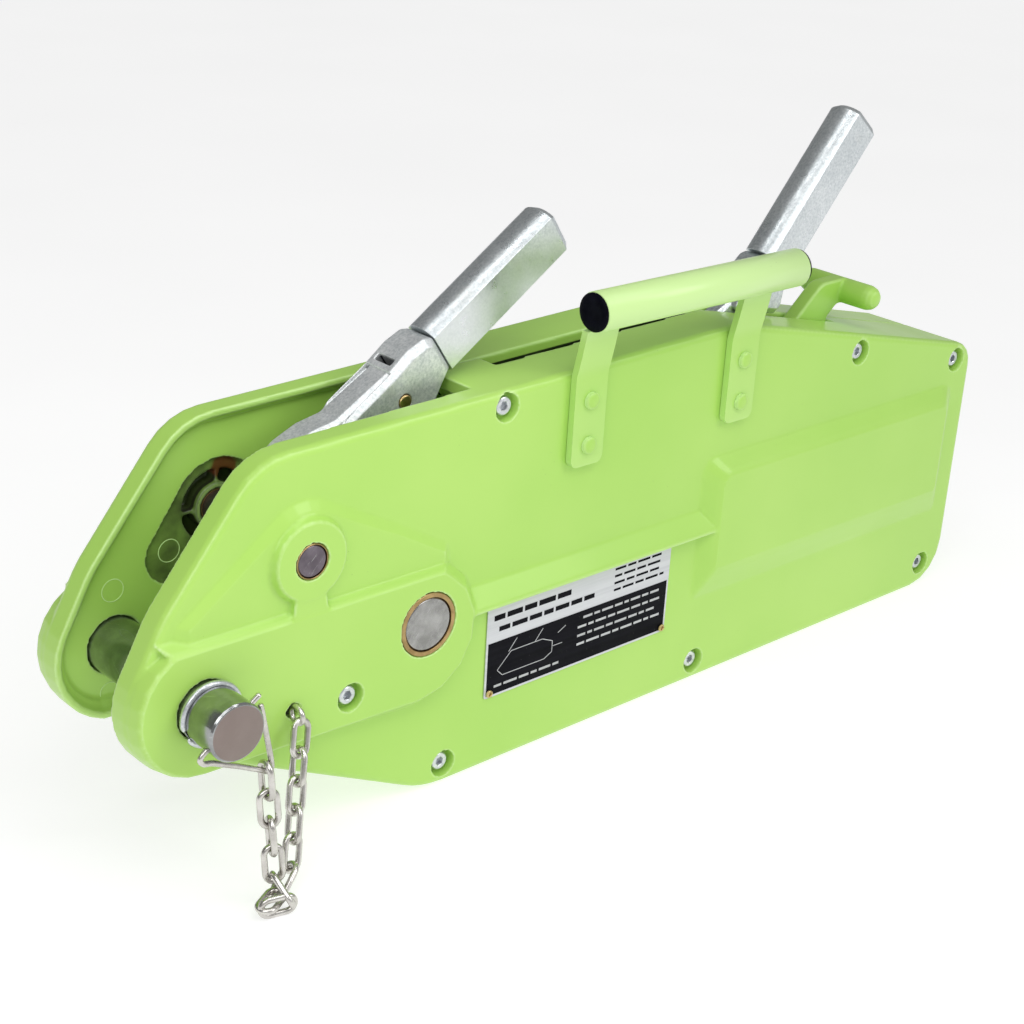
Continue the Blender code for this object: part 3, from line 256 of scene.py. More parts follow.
def slot_shade(p, colour):
    """Unlit wall of the long slot, below the two slopes of the deck."""
    x, _, z = p.split()
    rear_deck = p.maths("SUBTRACT", z, p.times(x, 0.0269))
    front_deck = p.maths("ADD", z, p.times(x, 0.2294))
    shade = p.times(p.within(rear_deck, 0.2236, 0.0004), p.within(front_deck, 0.2450, 0.0004))
    shade = p.times(shade, p.within(p.depth(), 0.0085, 0.0005))
    return p.mix(p.times(shade, 0.95), colour, (0.006, 0.007, 0.006))


def zinc(name="zinc", dark=(0.44, 0.49, 0.51), light=(0.76, 0.80, 0.81), grain=1.0, window=False,
         metallic=0.9, rough=(0.24, 0.40)):
    """Bright zinc plating on a forging: mottled blue-grey spangle over a lightly pitted skin."""
    p = Paint(name, metallic=metallic)
    spangle = p.noise(620.0, 4.0, 0.65)
    cloud = p.noise(30.0, 4.0, 0.6, distortion=0.4)
    colour = p.ramp(p.maths("ADD", p.times(spangle, 0.7), p.times(cloud, 0.3)), (0.34, dark), (0.62, light))
    colour = p.mix(p.ramp(p.noise(38.0, 2.0), (0.62, 0.0), (0.74, 0.22)), colour, (0.52, 0.50, 0.42))
    colour = p.mix(p.times(p.edges(0.52, 0.60), 0.7), colour, (0.86, 0.88, 0.90))
    pits = p.ramp(p.cells(520.0), (0.06, 0.0), (0.20, 1.0))
    if window:
        colour = window_shade(p, colour)
    p.bump((p.noise(120.0, 3.0), 0.10 * grain), (p.noise(900.0, 3.0, 0.6), 0.05 * grain),
           (pits, 0.02 * grain))
    return p.finish(colour, p.level(p.noise(90.0, 4.0, 0.65), *rough))


def window_shade(p, colour):
    """Unlit depth of the small window through the top of the forward lever's head."""
    leg, _ = leg_axes()
    origin = NODES["forward_lever_head"].matrix_world.translation / MM
    middle = Vector((PIVOT[0], 0.0, PIVOT[1])) + leg * WINDOW_REACH - origin
    x, y, z = p.split(p.stretch((1.0, 1.0, 1.0), tuple(middle * MM), (0.0, -LEVER_ANGLE, 0.0)))
    shade = p.times(p.within(p.maths("ABSOLUTE", x), 0.0020, 0.0003),
                    p.within(p.maths("ABSOLUTE", y), 0.0066, 0.0003))
    shade = p.times(shade, p.within(z, 0.0150, 0.0004))
    return p.mix(shade, colour, (0.004, 0.005, 0.010))


def turned_steel(name, centre, colour, dark, pitch=0.45, rough=(0.16, 0.34), end=0.0):
    """Machined steel: fine turning rings round its axis, thin stains, scratches and a sawn end face."""
    p = Paint(name, metallic=0.95)
    wobble = p.maths("ADD", p.radius(centre), p.times(p.noise(300.0, 2.0), 0.00012))
    rings = p.maths("SINE", p.times(wobble, math.tau / (pitch * MM)))
    stain = p.noise(85.0, 4.0, 0.6)
    shade = p.ramp(stain, (0.36, dark), (0.66, colour))
    scratches = p.noise(60.0, 6.0, 0.75, p.stretch((0.06, 1.0, 0.7), turn=(0.0, 0.7, 0.4)))
    shade = p.mix(p.ramp(scratches, (0.60, 0.0), (0.68, 0.35)), shade, (0.80, 0.80, 0.80))
    p.bump((rings, 0.006), (scratches, 0.012))
    finish = p.level(stain, rough[1], rough[0])
    if end:
        sawn = p.within(p.split()[1], end * MM, 0.0001)
        shade = p.mix(p.times(sawn, 0.9), shade, (0.235, 0.18, 0.16))
        p.put(p.shader.inputs["Metallic"], p.maths("SUBTRACT", 0.95, p.times(sawn, 0.55)))
        finish = p.maths("ADD", finish, p.times(sawn, 0.25))
    return p.finish(shade, finish)


def plain_metal(name, low, high, rough, oily=0.0):
    """Bronze, brass, bright wire or dark steel: tone drift, tarnish and a fine surface grain."""
    p = Paint(name, metallic=1.0)
    colour = p.ramp(p.noise(120.0, 4.0, 0.6), (0.35, low), (0.65, high))
    stain = p.ramp(p.noise(42.0, 4.0, 0.7), (0.55, 0.0), (0.72, 0.55))
    colour = p.mix(stain, colour, tuple(c * 0.45 for c in low))
    colour = p.mix(p.times(p.edges(0.52, 0.62), 0.55), colour, tuple(min(1.0, c * 1.25) for c in high))
    p.shader.inputs["Coat Weight"].default_value = oily
    p.bump((p.noise(700.0, 3.0), 0.03), (p.noise(60.0, 2.0), 0.10))
    return p.finish(colour, p.level(p.noise(96.0, 4.0, 0.6), *rough))


def black_plastic():
    """Matt moulded plastic with a fine grain and rubbed spots."""
    p = Paint("black_plastic")
    colour = p.ramp(p.noise(130.0, 3.0), (0.35, (0.002, 0.002, 0.005)), (0.70, (0.006, 0.006, 0.012)))
    colour = p.mix(p.ramp(p.noise(420.0, 4.0, 0.7), (0.62, 0.0), (0.75, 0.35)), colour, (0.03, 0.03, 0.035))
    p.shader.inputs["Specular IOR Level"].default_value = 0.03
    p.bump((p.noise(1100.0, 2.0), 0.03), (p.noise(150.0, 3.0), 0.05))
    return p.finish(colour, p.level(p.noise(160.0, 3.0), 0.36, 0.56))


def print_ink(name, low, high, metallic=0.0, rough=(0.30, 0.48), shine=0.5):
    """Printed or brushed sheet of the name plate, with fine lengthways brushing and a little dust."""
    p = Paint(name, metallic=metallic)
    brushed = p.noise(40.0, 5.0, 0.7, p.stretch((8.0, 1.0, 0.12)))
    colour = p.ramp(brushed, (0.35, low), (0.68, high))
    dust = p.ramp(p.cells(330.0), (0.03, 0.5), (0.07, 0.0))
    colour = p.mix(dust, colour, tuple(0.5 * (a + 0.4) for a in high))
    p.shader.inputs["Specular IOR Level"].default_value = shine
    p.bump((brushed, 0.015), (p.noise(90.0, 2.0), 0.04))
    return p.finish(colour, p.level(p.noise(50.0, 4.0, 0.6), *rough))


def make_materials():
    return {
        "lime_paint": lime_paint(),
        "casing_paint": lime_paint("casing_paint", shaded_and_soiled=True),
        "zinc": zinc(),
        "zinc_head": zinc("zinc_head", (0.52, 0.56, 0.57), (0.86, 0.88, 0.88), window=True,
                          metallic=0.62, rough=(0.32, 0.54)),
        "zinc_screw": zinc("zinc_screw", (0.40, 0.43, 0.46), (0.70, 0.72, 0.75), 0.3),
        "pin_steel": turned_steel("pin_steel", PIN, colour=(0.38, 0.39, 0.39), dark=(0.26, 0.27, 0.27),
                                  rough=(0.10, 0.20), end=-77.9),
        "shaft_steel": turned_steel("shaft_steel", MAIN, colour=(0.40, 0.395, 0.39), dark=(0.25, 0.245, 0.24),
                                    pitch=0.9),
        "pivot_steel": turned_steel("pivot_steel", PIVOT, colour=(0.22, 0.19, 0.22), dark=(0.13, 0.11, 0.13),
                                    pitch=0.6, rough=(0.25, 0.42)),
        "wire": plain_metal("wire", (0.48, 0.46, 0.43), (0.68, 0.66, 0.63), (0.18, 0.36)),
        "dark_steel": plain_metal("dark_steel", (0.055, 0.052, 0.050), (0.16, 0.15, 0.15), (0.28, 0.55),
                                  oily=0.2),
        "bronze": plain_metal("bronze", (0.24, 0.15, 0.06), (0.46, 0.32, 0.15), (0.30, 0.55)),
        "brass": plain_metal("brass", (0.42, 0.30, 0.12), (0.66, 0.50, 0.24), (0.25, 0.45)),
        "black_plastic": black_plastic(),
        "plate_black": print_ink("plate_black", (0.002, 0.002, 0.004), (0.006, 0.006, 0.010),
                                 rough=(0.4, 0.6), shine=0.06),
        "plate_silver": print_ink("plate_silver", (0.56, 0.57, 0.60), (0.68, 0.69, 0.72), 0.15),
        "plate_line": print_ink("plate_line", (0.42, 0.43, 0.44), (0.58, 0.59, 0.60)),
    }


# ---------------------------------------------------------------- mesh helpers
def turn_angles(steps):
    """Evenly spaced angles of one turn, the last one a step short of it."""
    return [math.tau * k / steps for k in range(steps)]


def circle(centre, radius, steps):
    return [(centre[0] + radius * math.cos(a), centre[1] + radius * math.sin(a)) for a in turn_angles(steps)]


def bridge(bm, low, high, shift=0):
    """Quads between two rings of as many vertices."""
    count = len(low)
    for i in range(count):
        j = (i + 1) % count
        bm.faces.new((low[i], low[j], high[(j + shift) % count], high[(i + shift) % count]))


def add_turned(bm, centre, profile, steps, axis="Y", closed=False):
    """Body turned about a line along Y or X, from (position on the line, radius) points."""
    rings = []
    for place, radius in profile:
        points = circle(centre, radius, steps)
        rings.append([bm.verts.new((a, place, b) if axis == "Y" else (place, a, b)) for a, b in points])
    pairs = list(zip(rings, rings[1:])) + ([(rings[-1], rings[0])] if closed else [])
    for low, high in pairs:
        bridge(bm, low, high)
    if not closed:
        bm.faces.new(rings[0])
        bm.faces.new(rings[-1])


def add_wire(bm, path, radius, sides, closed=False, taper=0):
    """Round wire along a path; taper rounds that many rings off at each free end."""
    path = [Vector(p) for p in path]
    count = len(path)
    rings = []
    side = None
    for i, point in enumerate(path):
        before = path[i - 1] if (closed or i > 0) else point
        after = path[(i + 1) % count] if (closed or i < count - 1) else point
        tangent = (after - before).normalized()
        if side is None:
            side = tangent.orthogonal().normalized()
        side = (side - tangent * side.dot(tangent)).normalized()
        other = tangent.cross(side)
        end = min(i, count - 1 - i)
        size = radius
        if not closed and end < taper:
            size = radius * math.sin(math.pi / 2 * (end + 0.6) / (taper + 0.6))
        rings.append([bm.verts.new(point + (side * math.cos(a) + other * math.sin(a)) * size)
                      for a in turn_angles(sides)])
    pairs = list(zip(rings, rings[1:])) + ([(rings[-1], rings[0])] if closed else [])
    for low, high in pairs:
        offset = 0
        if closed and high is rings[0]:
            offset = min(range(sides), key=lambda k: (low[0].co - high[k].co).length)
        bridge(bm, low, high, offset)
    if not closed:
        bm.faces.new(rings[0])
        bm.faces.new(rings[-1])


def smooth_path(points, step):
    """Smooth open curve through the points, cut every step millimetres."""
    count = len(points)
    out = []
    for i in range(count - 1):
        a, b = points[i], points[i + 1]
        before = points[i - 1] if i > 0 else a + (a - b)
        after = points[i + 2] if i + 2 < count else b + (b - a)
        length = (b - a).length
        t0 = (b - before).normalized() * length * 0.8
        t1 = (after - a).normalized() * length * 0.8
        cuts = max(2, round(length / step))
        for k in range(cuts):
            t = k / cuts
            h1, h2 = 2 * t ** 3 - 3 * t ** 2 + 1, t ** 3 - 2 * t ** 2 + t
            h3, h4 = -2 * t ** 3 + 3 * t ** 2, t ** 3 - t ** 2
            out.append(a * h1 + t0 * h2 + b * h3 + t1 * h4)
    out.append(points[-1])
    return out


def add_plan(bm, outline, y0, y1):
    """Prism of a closed (x, z) outline between y0 and y1."""
    near = [bm.verts.new((x, y0, z)) for x, z in outline]
    far = [bm.verts.new((x, y1, z)) for x, z in outline]
    bridge(bm, near, far)
    bm.faces.new(near)
    bm.faces.new(far)


def make(bm, name, material, body="root", stands_for=(), bevel=0.0, ride=True, angle=30.0):
    """Turn a bmesh in millimetres into a finished piece on its body."""
    bmesh.ops.recalc_face_normals(bm, faces=bm.faces)
    bmesh.ops.scale(bm, verts=bm.verts, vec=(MM, MM, MM))
    mesh = bpy.data.meshes.new(name)
    bm.to_mesh(mesh)
    bm.free()
    mesh.shade_smooth()
    mesh.materials.append(MATERIALS[material])
    made = bpy.data.objects.new(name, mesh)
    SCENE.collection.objects.link(made)
    if bevel > 0.0:
        soften(made, bevel, angle=angle)
    else:
        mesh.set_sharp_from_angle(angle=math.radians(angle))
    if ride:
        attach(made, body)
    if stands_for:
        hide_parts(*stands_for)
    return made


def soften(piece, width, segments=3, angle=30.0):
    """Round every sharp edge by width millimetres."""
    step = piece.modifiers.new("edge_round", "BEVEL")
    step.width = width * MM
    step.segments = segments
    step.limit_method = "ANGLE"
    step.angle_limit = math.radians(angle)
    step.harden_normals = False
    shade = piece.modifiers.new("shade", "WEIGHTED_NORMAL")
    shade.keep_sharp = False
    shade.weight = 60


def paint_node(name, material):
    """Give a CAD node one of the materials."""
    slots = NODES[name].data.materials
    slots.clear()
    slots.append(MATERIALS[material])


def weld_node(name):
    """Join the triangles' doubled corners."""
    NODES[name].modifiers.new("weld", "WELD").merge_threshold = WELD_METRES


def cast_skin(name, voxel, passes):
    """Cast look for a CAD node: its edges and corners run together as they do in a sand mould."""
    weld_node(name)
    piece = NODES[name]
    skin = piece.modifiers.new("cast_skin", "REMESH")
    skin.mode = "VOXEL"
    skin.voxel_size = voxel * MM
    skin.use_smooth_shade = True
    relax = piece.modifiers.new("relax", "SMOOTH")
    relax.factor = 0.5
    relax.iterations = passes


def edge_node(name, width, segments=2):
    """Machined look for a CAD node: welded and with small rounded edges."""
    weld_node(name)
    soften(NODES[name], width, segments)


# ---------------------------------------------------------------- casing and castings
def dress_casings():
    for name in ("front_casing", "rear_casing"):
        cast_skin(name, 1.0, 2)
        paint_node(name, "casing_paint" if name == "rear_casing" else "lime_paint")
    cast_skin("release_arm", 0.9, 4)
    paint_node("release_arm", "lime_paint")
    for name in ("forward_lever_head", "reverse_lever_head"):
        cast_skin(name, 0.5, 2)
        paint_node(name, "zinc_head" if name == "forward_lever_head" else "zinc")
    for name in ("forward_lever_bar", "reverse_lever_bar"):
        edge_node(name, 0.9, 3)
        paint_node(name, "zinc")
    for name in ("shear_pin", "reverse_shear_pin"):
        edge_node(name, 0.3)
        paint_node(name, "brass")
    for name in NODES:
        if name.startswith(INNER_NODES):
            edge_node(name, 0.4)
            paint_node(name, "dark_steel")


# ---------------------------------------------------------------- shafts, pin, clip and chain
def make_shafts():
    end = BOSS_Y - 0.6
    bm = bmesh.new()
    add_turned(bm, MAIN, [(-end, 14.5), (-end + 0.8, 15.3), (end - 0.8, 15.3), (end, 14.5)], 80)
    make(bm, "main_shaft_turned", "shaft_steel", "root", ("main_shaft",), 0.3)
    bm = bmesh.new()
    add_turned(bm, PIVOT, [(-end, 8.0), (-end + 0.6, 8.6), (end - 0.6, 8.6), (end, 8.0)], 64)
    make(bm, "lever_shaft_turned", "pivot_steel", "root", ("lever_shaft",), 0.25)
    bushes = ("main_bush", MAIN, 15.65, 18.3, 28.5), ("lever_bush", PIVOT, 8.9, 9.6, 35.0)
    for side, tag in ((-1.0, "front"), (1.0, "rear")):
        for label, centre, inner, outer, deep in bushes:
            bm = bmesh.new()
            y1, y0 = side * (BOSS_Y - 0.2), side * deep
            add_turned(bm, centre, [(y0, inner), (y0, outer), (y1 - side * 0.4, outer), (y1, outer - 0.4),
                                    (y1, inner + 0.2), (y1 - side * 0.2, inner)], 72, closed=True)
            make(bm, f"{label}_{tag}_turned", "bronze", "root", (f"{label}_{tag}",))


def leg_axes():
    """Direction of the forward lever, and the one square to it that points down."""
    leg = Vector((math.cos(LEVER_ANGLE), 0.0, math.sin(LEVER_ANGLE)))
    down = Vector((math.sin(LEVER_ANGLE), 0.0, -math.cos(LEVER_ANGLE)))
    return leg, down


def bore_out(piece, tool):
    """Cut a hole through a piece now, so that no modifier or tool is left behind."""
    step = piece.modifiers.new("hole", "BOOLEAN")
    step.operation = "DIFFERENCE"
    step.solver = "EXACT"
    step.object = tool
    bpy.context.view_layer.update()
    done = bpy.data.meshes.new_from_object(piece.evaluated_get(bpy.context.evaluated_depsgraph_get()))
    piece.modifiers.clear()
    piece.data = done
    bpy.data.objects.remove(tool)


def make_pin():
    """Anchor pin with a groove for its ring, a collar at the far end and a cross hole for the clip."""
    leg, _ = leg_axes()
    bm = bmesh.new()
    add_turned(bm, PIN, [(-78.0, PIN_R - 1.6), (-77.6, PIN_R - 0.7), (-76.6, PIN_R), (-56.9, PIN_R),
                         (-56.6, PIN_R - 0.3), (-56.6, PIN_R - 1.4), (-53.4, PIN_R - 1.4),
                         (-53.4, PIN_R - 0.3), (-53.1, PIN_R), (50.3, PIN_R), (50.3, 19.6),
                         (50.6, 20.0), (54.5, 20.0), (55.5, 19.0)], 96)
    pin = make(bm, "anchor_pin_turned", "pin_steel", "anchor_pin", ("anchor_pin",))
    bm = bmesh.new()
    centre = Vector((PIN[0], CLIP_Y, PIN[1]))
    add_wire(bm, [centre - leg * 22.0, centre + leg * 22.0], 2.1, 24)
    bmesh.ops.scale(bm, verts=bm.verts, vec=(MM, MM, MM))
    mesh = bpy.data.meshes.new("pin_hole_tool")
    bm.to_mesh(mesh)
    bm.free()
    tool = bpy.data.objects.new("pin_hole_tool", mesh)
    SCENE.collection.objects.link(tool)
    bore_out(pin, tool)
    pin.data.set_sharp_from_angle(angle=math.radians(30.0))


def make_snap_ring():
    """Split wire ring in the pin's groove."""
    gap = math.radians(9.0)
    start = math.radians(205.0) + gap
    sweep = math.tau - 2 * gap
    steps = 70
    angles = [start + sweep * k / steps for k in range(steps + 1)]
    loop = [(PIN[0] + 16.1 * math.cos(a), -55.0, PIN[1] + 16.1 * math.sin(a)) for a in angles]
    bm = bmesh.new()
    add_wire(bm, loop, 1.75, 16, taper=2)
    make(bm, "pin_snap_ring_wire", "zinc_screw", "anchor_pin", ("pin_snap_ring",), angle=60.0)


def make_clip():
    """Wire clip through the pin, bent round under it, with its free end beside the pin's face."""
    leg, down = leg_axes()
    centre = Vector((PIN[0], CLIP_Y, PIN[1]))
    bends = [(21.5, 0.0), (16.0, 0.0), (9.0, 0.0), (0.0, 0.0), (-9.0, 0.0), (-18.5, 0.0), (-20.8, 1.3),
             (-20.6, 4.5), (-17.5, 8.0), (-13.0, 15.7), (-9.0, 22.5), (-5.0, 30.0), (-1.5, 36.5), (0.3, 40.0),
             (2.6, 39.5), (4.3, 37.0), (7.5, 30.0), (11.0, 22.0), (14.3, 14.5), (17.4, 7.4), (18.4, 4.6)]
    bm = bmesh.new()
    add_wire(bm, smooth_path([centre + leg * a + down * b for a, b in bends], 0.8), 1.5, 16, taper=1)
    make(bm, "lock_clip_wire", "wire", "lock_clip", ("lock_clip",), angle=60.0)


def link_loop(start, end, normal):
    """Centre line of one oval link between two joints."""
    run = (end - start).normalized()
    side = normal.cross(run).normalized()
    middle = (start + end) / 2.0
    straight = (end - start).length / 2.0 + LINK_PAST - LINK_HALF
    loop = []
    for sign in (1.0, -1.0):
        for k in range(13):
            angle = -math.pi / 2.0 + math.pi * k / 12
            along = straight + LINK_HALF * math.cos(angle)
            loop.append(middle + (run * along + side * LINK_HALF * math.sin(angle)) * sign)
    return loop


def make_chain():
    """Chain from the eye in the casing down to a small heap and up to the clip's corner."""
    leg, down = leg_axes()
    eye = Vector((-240.8, -56.5, 82.0))
    foot = Vector((-260.5, -75.5, 14.5))
    joints = [eye.lerp(foot, k / 5.0) for k in range(6)]
    joints += [Vector((-271.5, -80.0, 6.2)), Vector((-284.5, -87.0, 6.0)), Vector((-271.0, -90.5, 6.2))]
    low = Vector((-272.2, -78.0, 14.8))
    corner = Vector((PIN[0], CLIP_Y, PIN[1])) + leg * 1.5 + down * 34.9 - Vector((0.0, 0.0, 1.5))
    joints += [low.lerp(corner, k / 4.0) for k in range(5)]
    flat_link, first_rising, last_link = 6, 9, len(joints) - 2
    hanging, rising = bmesh.new(), bmesh.new()
    previous = Vector((0.0, 1.0, 0.0))
    for i, (start, end) in enumerate(zip(joints, joints[1:])):
        run = (end - start).normalized()
        normal = run.cross(previous) if i else previous
        normal = (normal - run * normal.dot(run)).normalized()
        if i == last_link:
            normal = Vector((1.0, 0.0, 0.0))
        if i == flat_link:
            normal = Vector((0.0, 0.0, 1.0))
        strand = hanging if i < first_rising else rising
        add_wire(strand, link_loop(start, end, normal), LINK_WIRE, 12, closed=True)
        previous = normal
    first = make(hanging, "chain_links_hanging", "wire", ride=False, stands_for=("pin_chain",), angle=60.0)
    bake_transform(first)
    second = make(rising, "chain_links_rising", "wire", ride=False, stands_for=("pin_chain",), angle=60.0)
    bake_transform(second)


def make_chain_eye():
    """Wire ring that comes out of a hole in the casing and holds the chain, and a dark steel plug in the hole
    as painted shade of its depth.
    """
    x, z = -240.8, 85.2
    loop = [(x, -52.6 + 5.0 * math.cos(a), z + 4.4 * math.sin(a)) for a in turn_angles(36)]
    bm = bmesh.new()
    add_wire(bm, loop, 1.5, 12, closed=True)
    make(bm, "chain_eye_ring", "wire", "root", ("chain_eye",), angle=60.0)
    # painted shade: a dark steel plug in the hole, so that the hole reads deep and unlit
    bm = bmesh.new()
    add_turned(bm, (x, 86.0), [(-39.0, 4.3), (-44.6, 4.3), (-45.0, 3.9), (-44.8, 2.0)], 32)
    make(bm, "chain_hole_shade_plug", "dark_steel", "root", ("chain_eye",), angle=40.0)


# ---------------------------------------------------------------- screws and rivets
def socket_levels(seat):
    """(y, fixed radius, rise over the hexagon) up the head, over its rim and down into the socket."""
    return ((seat - 3.9, 5.1, 0.0), (seat - 4.2, 4.6, 0.0), (seat - 4.2, None, 0.4), (seat - 3.9, None, 0.0),
            (seat - 1.4, None, 0.0))


def make_screws():
    """Socket-head screws down in their counterbores: knurled head, rounded rim and a hexagon socket."""
    angles = turn_angles(SCREW_STEPS)
    knurl = [5.4 if k % 2 else 5.24 for k in range(SCREW_STEPS)]
    for i, (x, z, level) in enumerate(SCREWS):
        seat = -level + SCREW_SINK
        turn = 0.4 + 0.7 * i
        hexagon = [2.3 / math.cos((a - turn + math.pi / 6) % (math.pi / 3) - math.pi / 6) for a in angles]
        outlines = [(seat, knurl), (seat - 3.3, knurl)]
        outlines += [(y, [fixed] * SCREW_STEPS if fixed else [h + rise for h in hexagon])
                     for y, fixed, rise in socket_levels(seat)]
        bm = bmesh.new()
        rings = [[bm.verts.new((x + r * math.cos(a), y, z + r * math.sin(a))) for r, a in zip(radii, angles)]
                 for y, radii in outlines]
        for low, high in zip(rings, rings[1:]):
            bridge(bm, low, high)
        bm.faces.new(rings[-1])
        bm.faces.new(rings[0])
        add_turned(bm, (x, z), [(seat - 0.4, 3.9), (33.0 if level == FACE_Y else 41.0, 3.9)], 24)
        make(bm, f"socket_screw_{i + 1}", "zinc_screw", "root", (f"casing_screw_{i + 1}",), angle=28.0)


def make_rivets():
    """Domed rivets of the handle's straps, and hollow rivets in two corners of the plate."""
    y = -47.1
    angles = [math.pi / 2 * k / 8 for k in range(9)]
    dome = [(y + 0.2, 5.0)] + [(y - 1.3 - 1.65 * math.sin(a), 0.2 + 4.7 * math.cos(a)) for a in angles]
    for tag, x in STRAP_X:
        for label, z in (("lower", 185.4), ("upper", 211.6)):
            bm = bmesh.new()
            add_turned(bm, (x, z), dome, 40)
            make(bm, f"rivet_{tag}_{label}", "lime_paint", "root", (f"handle_rivet_{tag}_{label}",),
                 angle=50.0)
    for tag, x in (("left", -101.6), ("right", 37.8)):
        bm = bmesh.new()
        add_turned(bm, (x, 47.0), [(-43.3, 2.3), (-43.9, 2.3), (-44.4, 1.9), (-44.5, 1.3), (-44.2, 1.1),
                                   (-43.7, 1.0)], 32)
        make(bm, f"plate_rivet_{tag}_hollow", "brass", "root", (f"plate_rivet_{tag}",), angle=50.0)


# ---------------------------------------------------------------- handle
def make_handle():
    """Drawn tube along X with a moulded cap in each end."""
    x0, x1 = TUBE_ENDS
    bm = bmesh.new()
    add_turned(bm, TUBE, [(x0, 9.7), (x0, 10.7), (x0 + 0.5, 11.2), (x1 - 0.5, 11.2), (x1, 10.7), (x1, 9.7)],
               72, axis="X", closed=True)
    make(bm, "handle_tube_drawn", "lime_paint", "root", ("handle_tube",), angle=50.0)
    for tag, x, way in (("front", x0, -1.0), ("rear", x1, 1.0)):
        profile = [(-14.0, 9.0), (0.3, 9.1), (0.3, 10.7), (1.1, 10.7), (1.7, 10.2), (2.2, 9.0), (2.4, 7.2),
                   (2.2, 5.0), (2.0, 1.5)]
        bm = bmesh.new()
        add_turned(bm, TUBE, [(x + way * out, radius) for out, radius in profile], 56, axis="X")
        make(bm, f"handle_cap_{tag}_moulded", "black_plastic", "root", (f"handle_cap_{tag}",), angle=40.0)


def make_straps():
    """Flat straps from the casing to the tube, square at the foot and cranked outwards near the top."""
    angles = [math.pi / 2 * k / 6 for k in range(7)]
    levels = [(173.0 + 5.0 * (1.0 - math.cos(a)), 7.0 + 5.0 * math.sin(a), 0.0) for a in angles]
    levels += [(204.0, 12.0, 0.0), (224.5, 12.0, 0.0), (227.5, 12.0, 0.35), (232.0, 12.0, 1.4),
               (240.0, 12.0, 3.2), (247.0, 12.0, 4.6), (254.2, 12.0, 6.0)]
    section = (-1, -46.8), (1, -46.8), (1, -42.3), (-1, -42.3)
    for tag, x in STRAP_X:
        bm = bmesh.new()
        rings = [[bm.verts.new((x + side * half, y - out, z)) for side, y in section]
                 for z, half, out in levels]
        for low, high in zip(rings, rings[1:]):
            bridge(bm, low, high)
        bm.faces.new(rings[0])
        bm.faces.new(rings[-1])
        make(bm, f"handle_strap_{tag}_flat", "lime_paint", "root", (f"handle_strap_{tag}",), 0.45,
             angle=40.0)


def make_rope_guide():
    """Flared bronze bush where the rope enters."""
    bm = bmesh.new()
    add_turned(bm, (0.0, 141.0), [(312.0, 9.0), (312.0, 15.0), (329.9, 15.0), (330.7, 14.7), (331.0, 14.0),
                                  (331.0, 12.6), (330.2, 11.4), (328.8, 10.2), (326.5, 9.2), (324.0, 9.0)],
               64, axis="X", closed=True)
    make(bm, "rope_guide_turned", "bronze", "root", ("rope_guide",), angle=40.0)


def make_mould_marks():
    """Faint raised rings left by the mould inside the nose, as (x, z, depth, radius)."""
    marks = (-258.3, 147.4, 36.5, 6.3), (-293.3, 135.4, 34.0, 6.2), (-297.3, 78.4, 34.0, 5.4)
    for i, (x, z, depth, radius) in enumerate(marks):
        bm = bmesh.new()
        add_wire(bm, [(a, depth, b) for a, b in circle((x, z), radius, 48)], 0.28, 8, closed=True)
        make(bm, f"mould_ring_{i + 1}", "lime_paint", "root", angle=60.0)


# ---------------------------------------------------------------- name plate
def add_bars(bm, count, row, lengths, gap, layer):
    """Blank bars of uneven length for one line (z, x0, x1, height); returns how many were drawn so far."""
    z, x, x1, height = row
    z0, z1 = z - height / 2, z + height / 2
    shortest, spread = lengths
    while x < x1 - 3.0:
        count += 1
        length = min(x1 - x, shortest + spread * ((count * 0.618) % 1.0))
        add_plan(bm, [(x, z0), (x + length, z0), (x + length, z1), (x, z1)], *layer)
        x += length + gap
    return count


def add_stroke(bm, start, end, width=0.45):
    a, b = Vector(start), Vector(end)
    side = (b - a).normalized().orthogonal() * width / 2.0
    add_plan(bm, [tuple(a - side), tuple(b - side), tuple(b + side), tuple(a + side)], *LINE_LAYER)


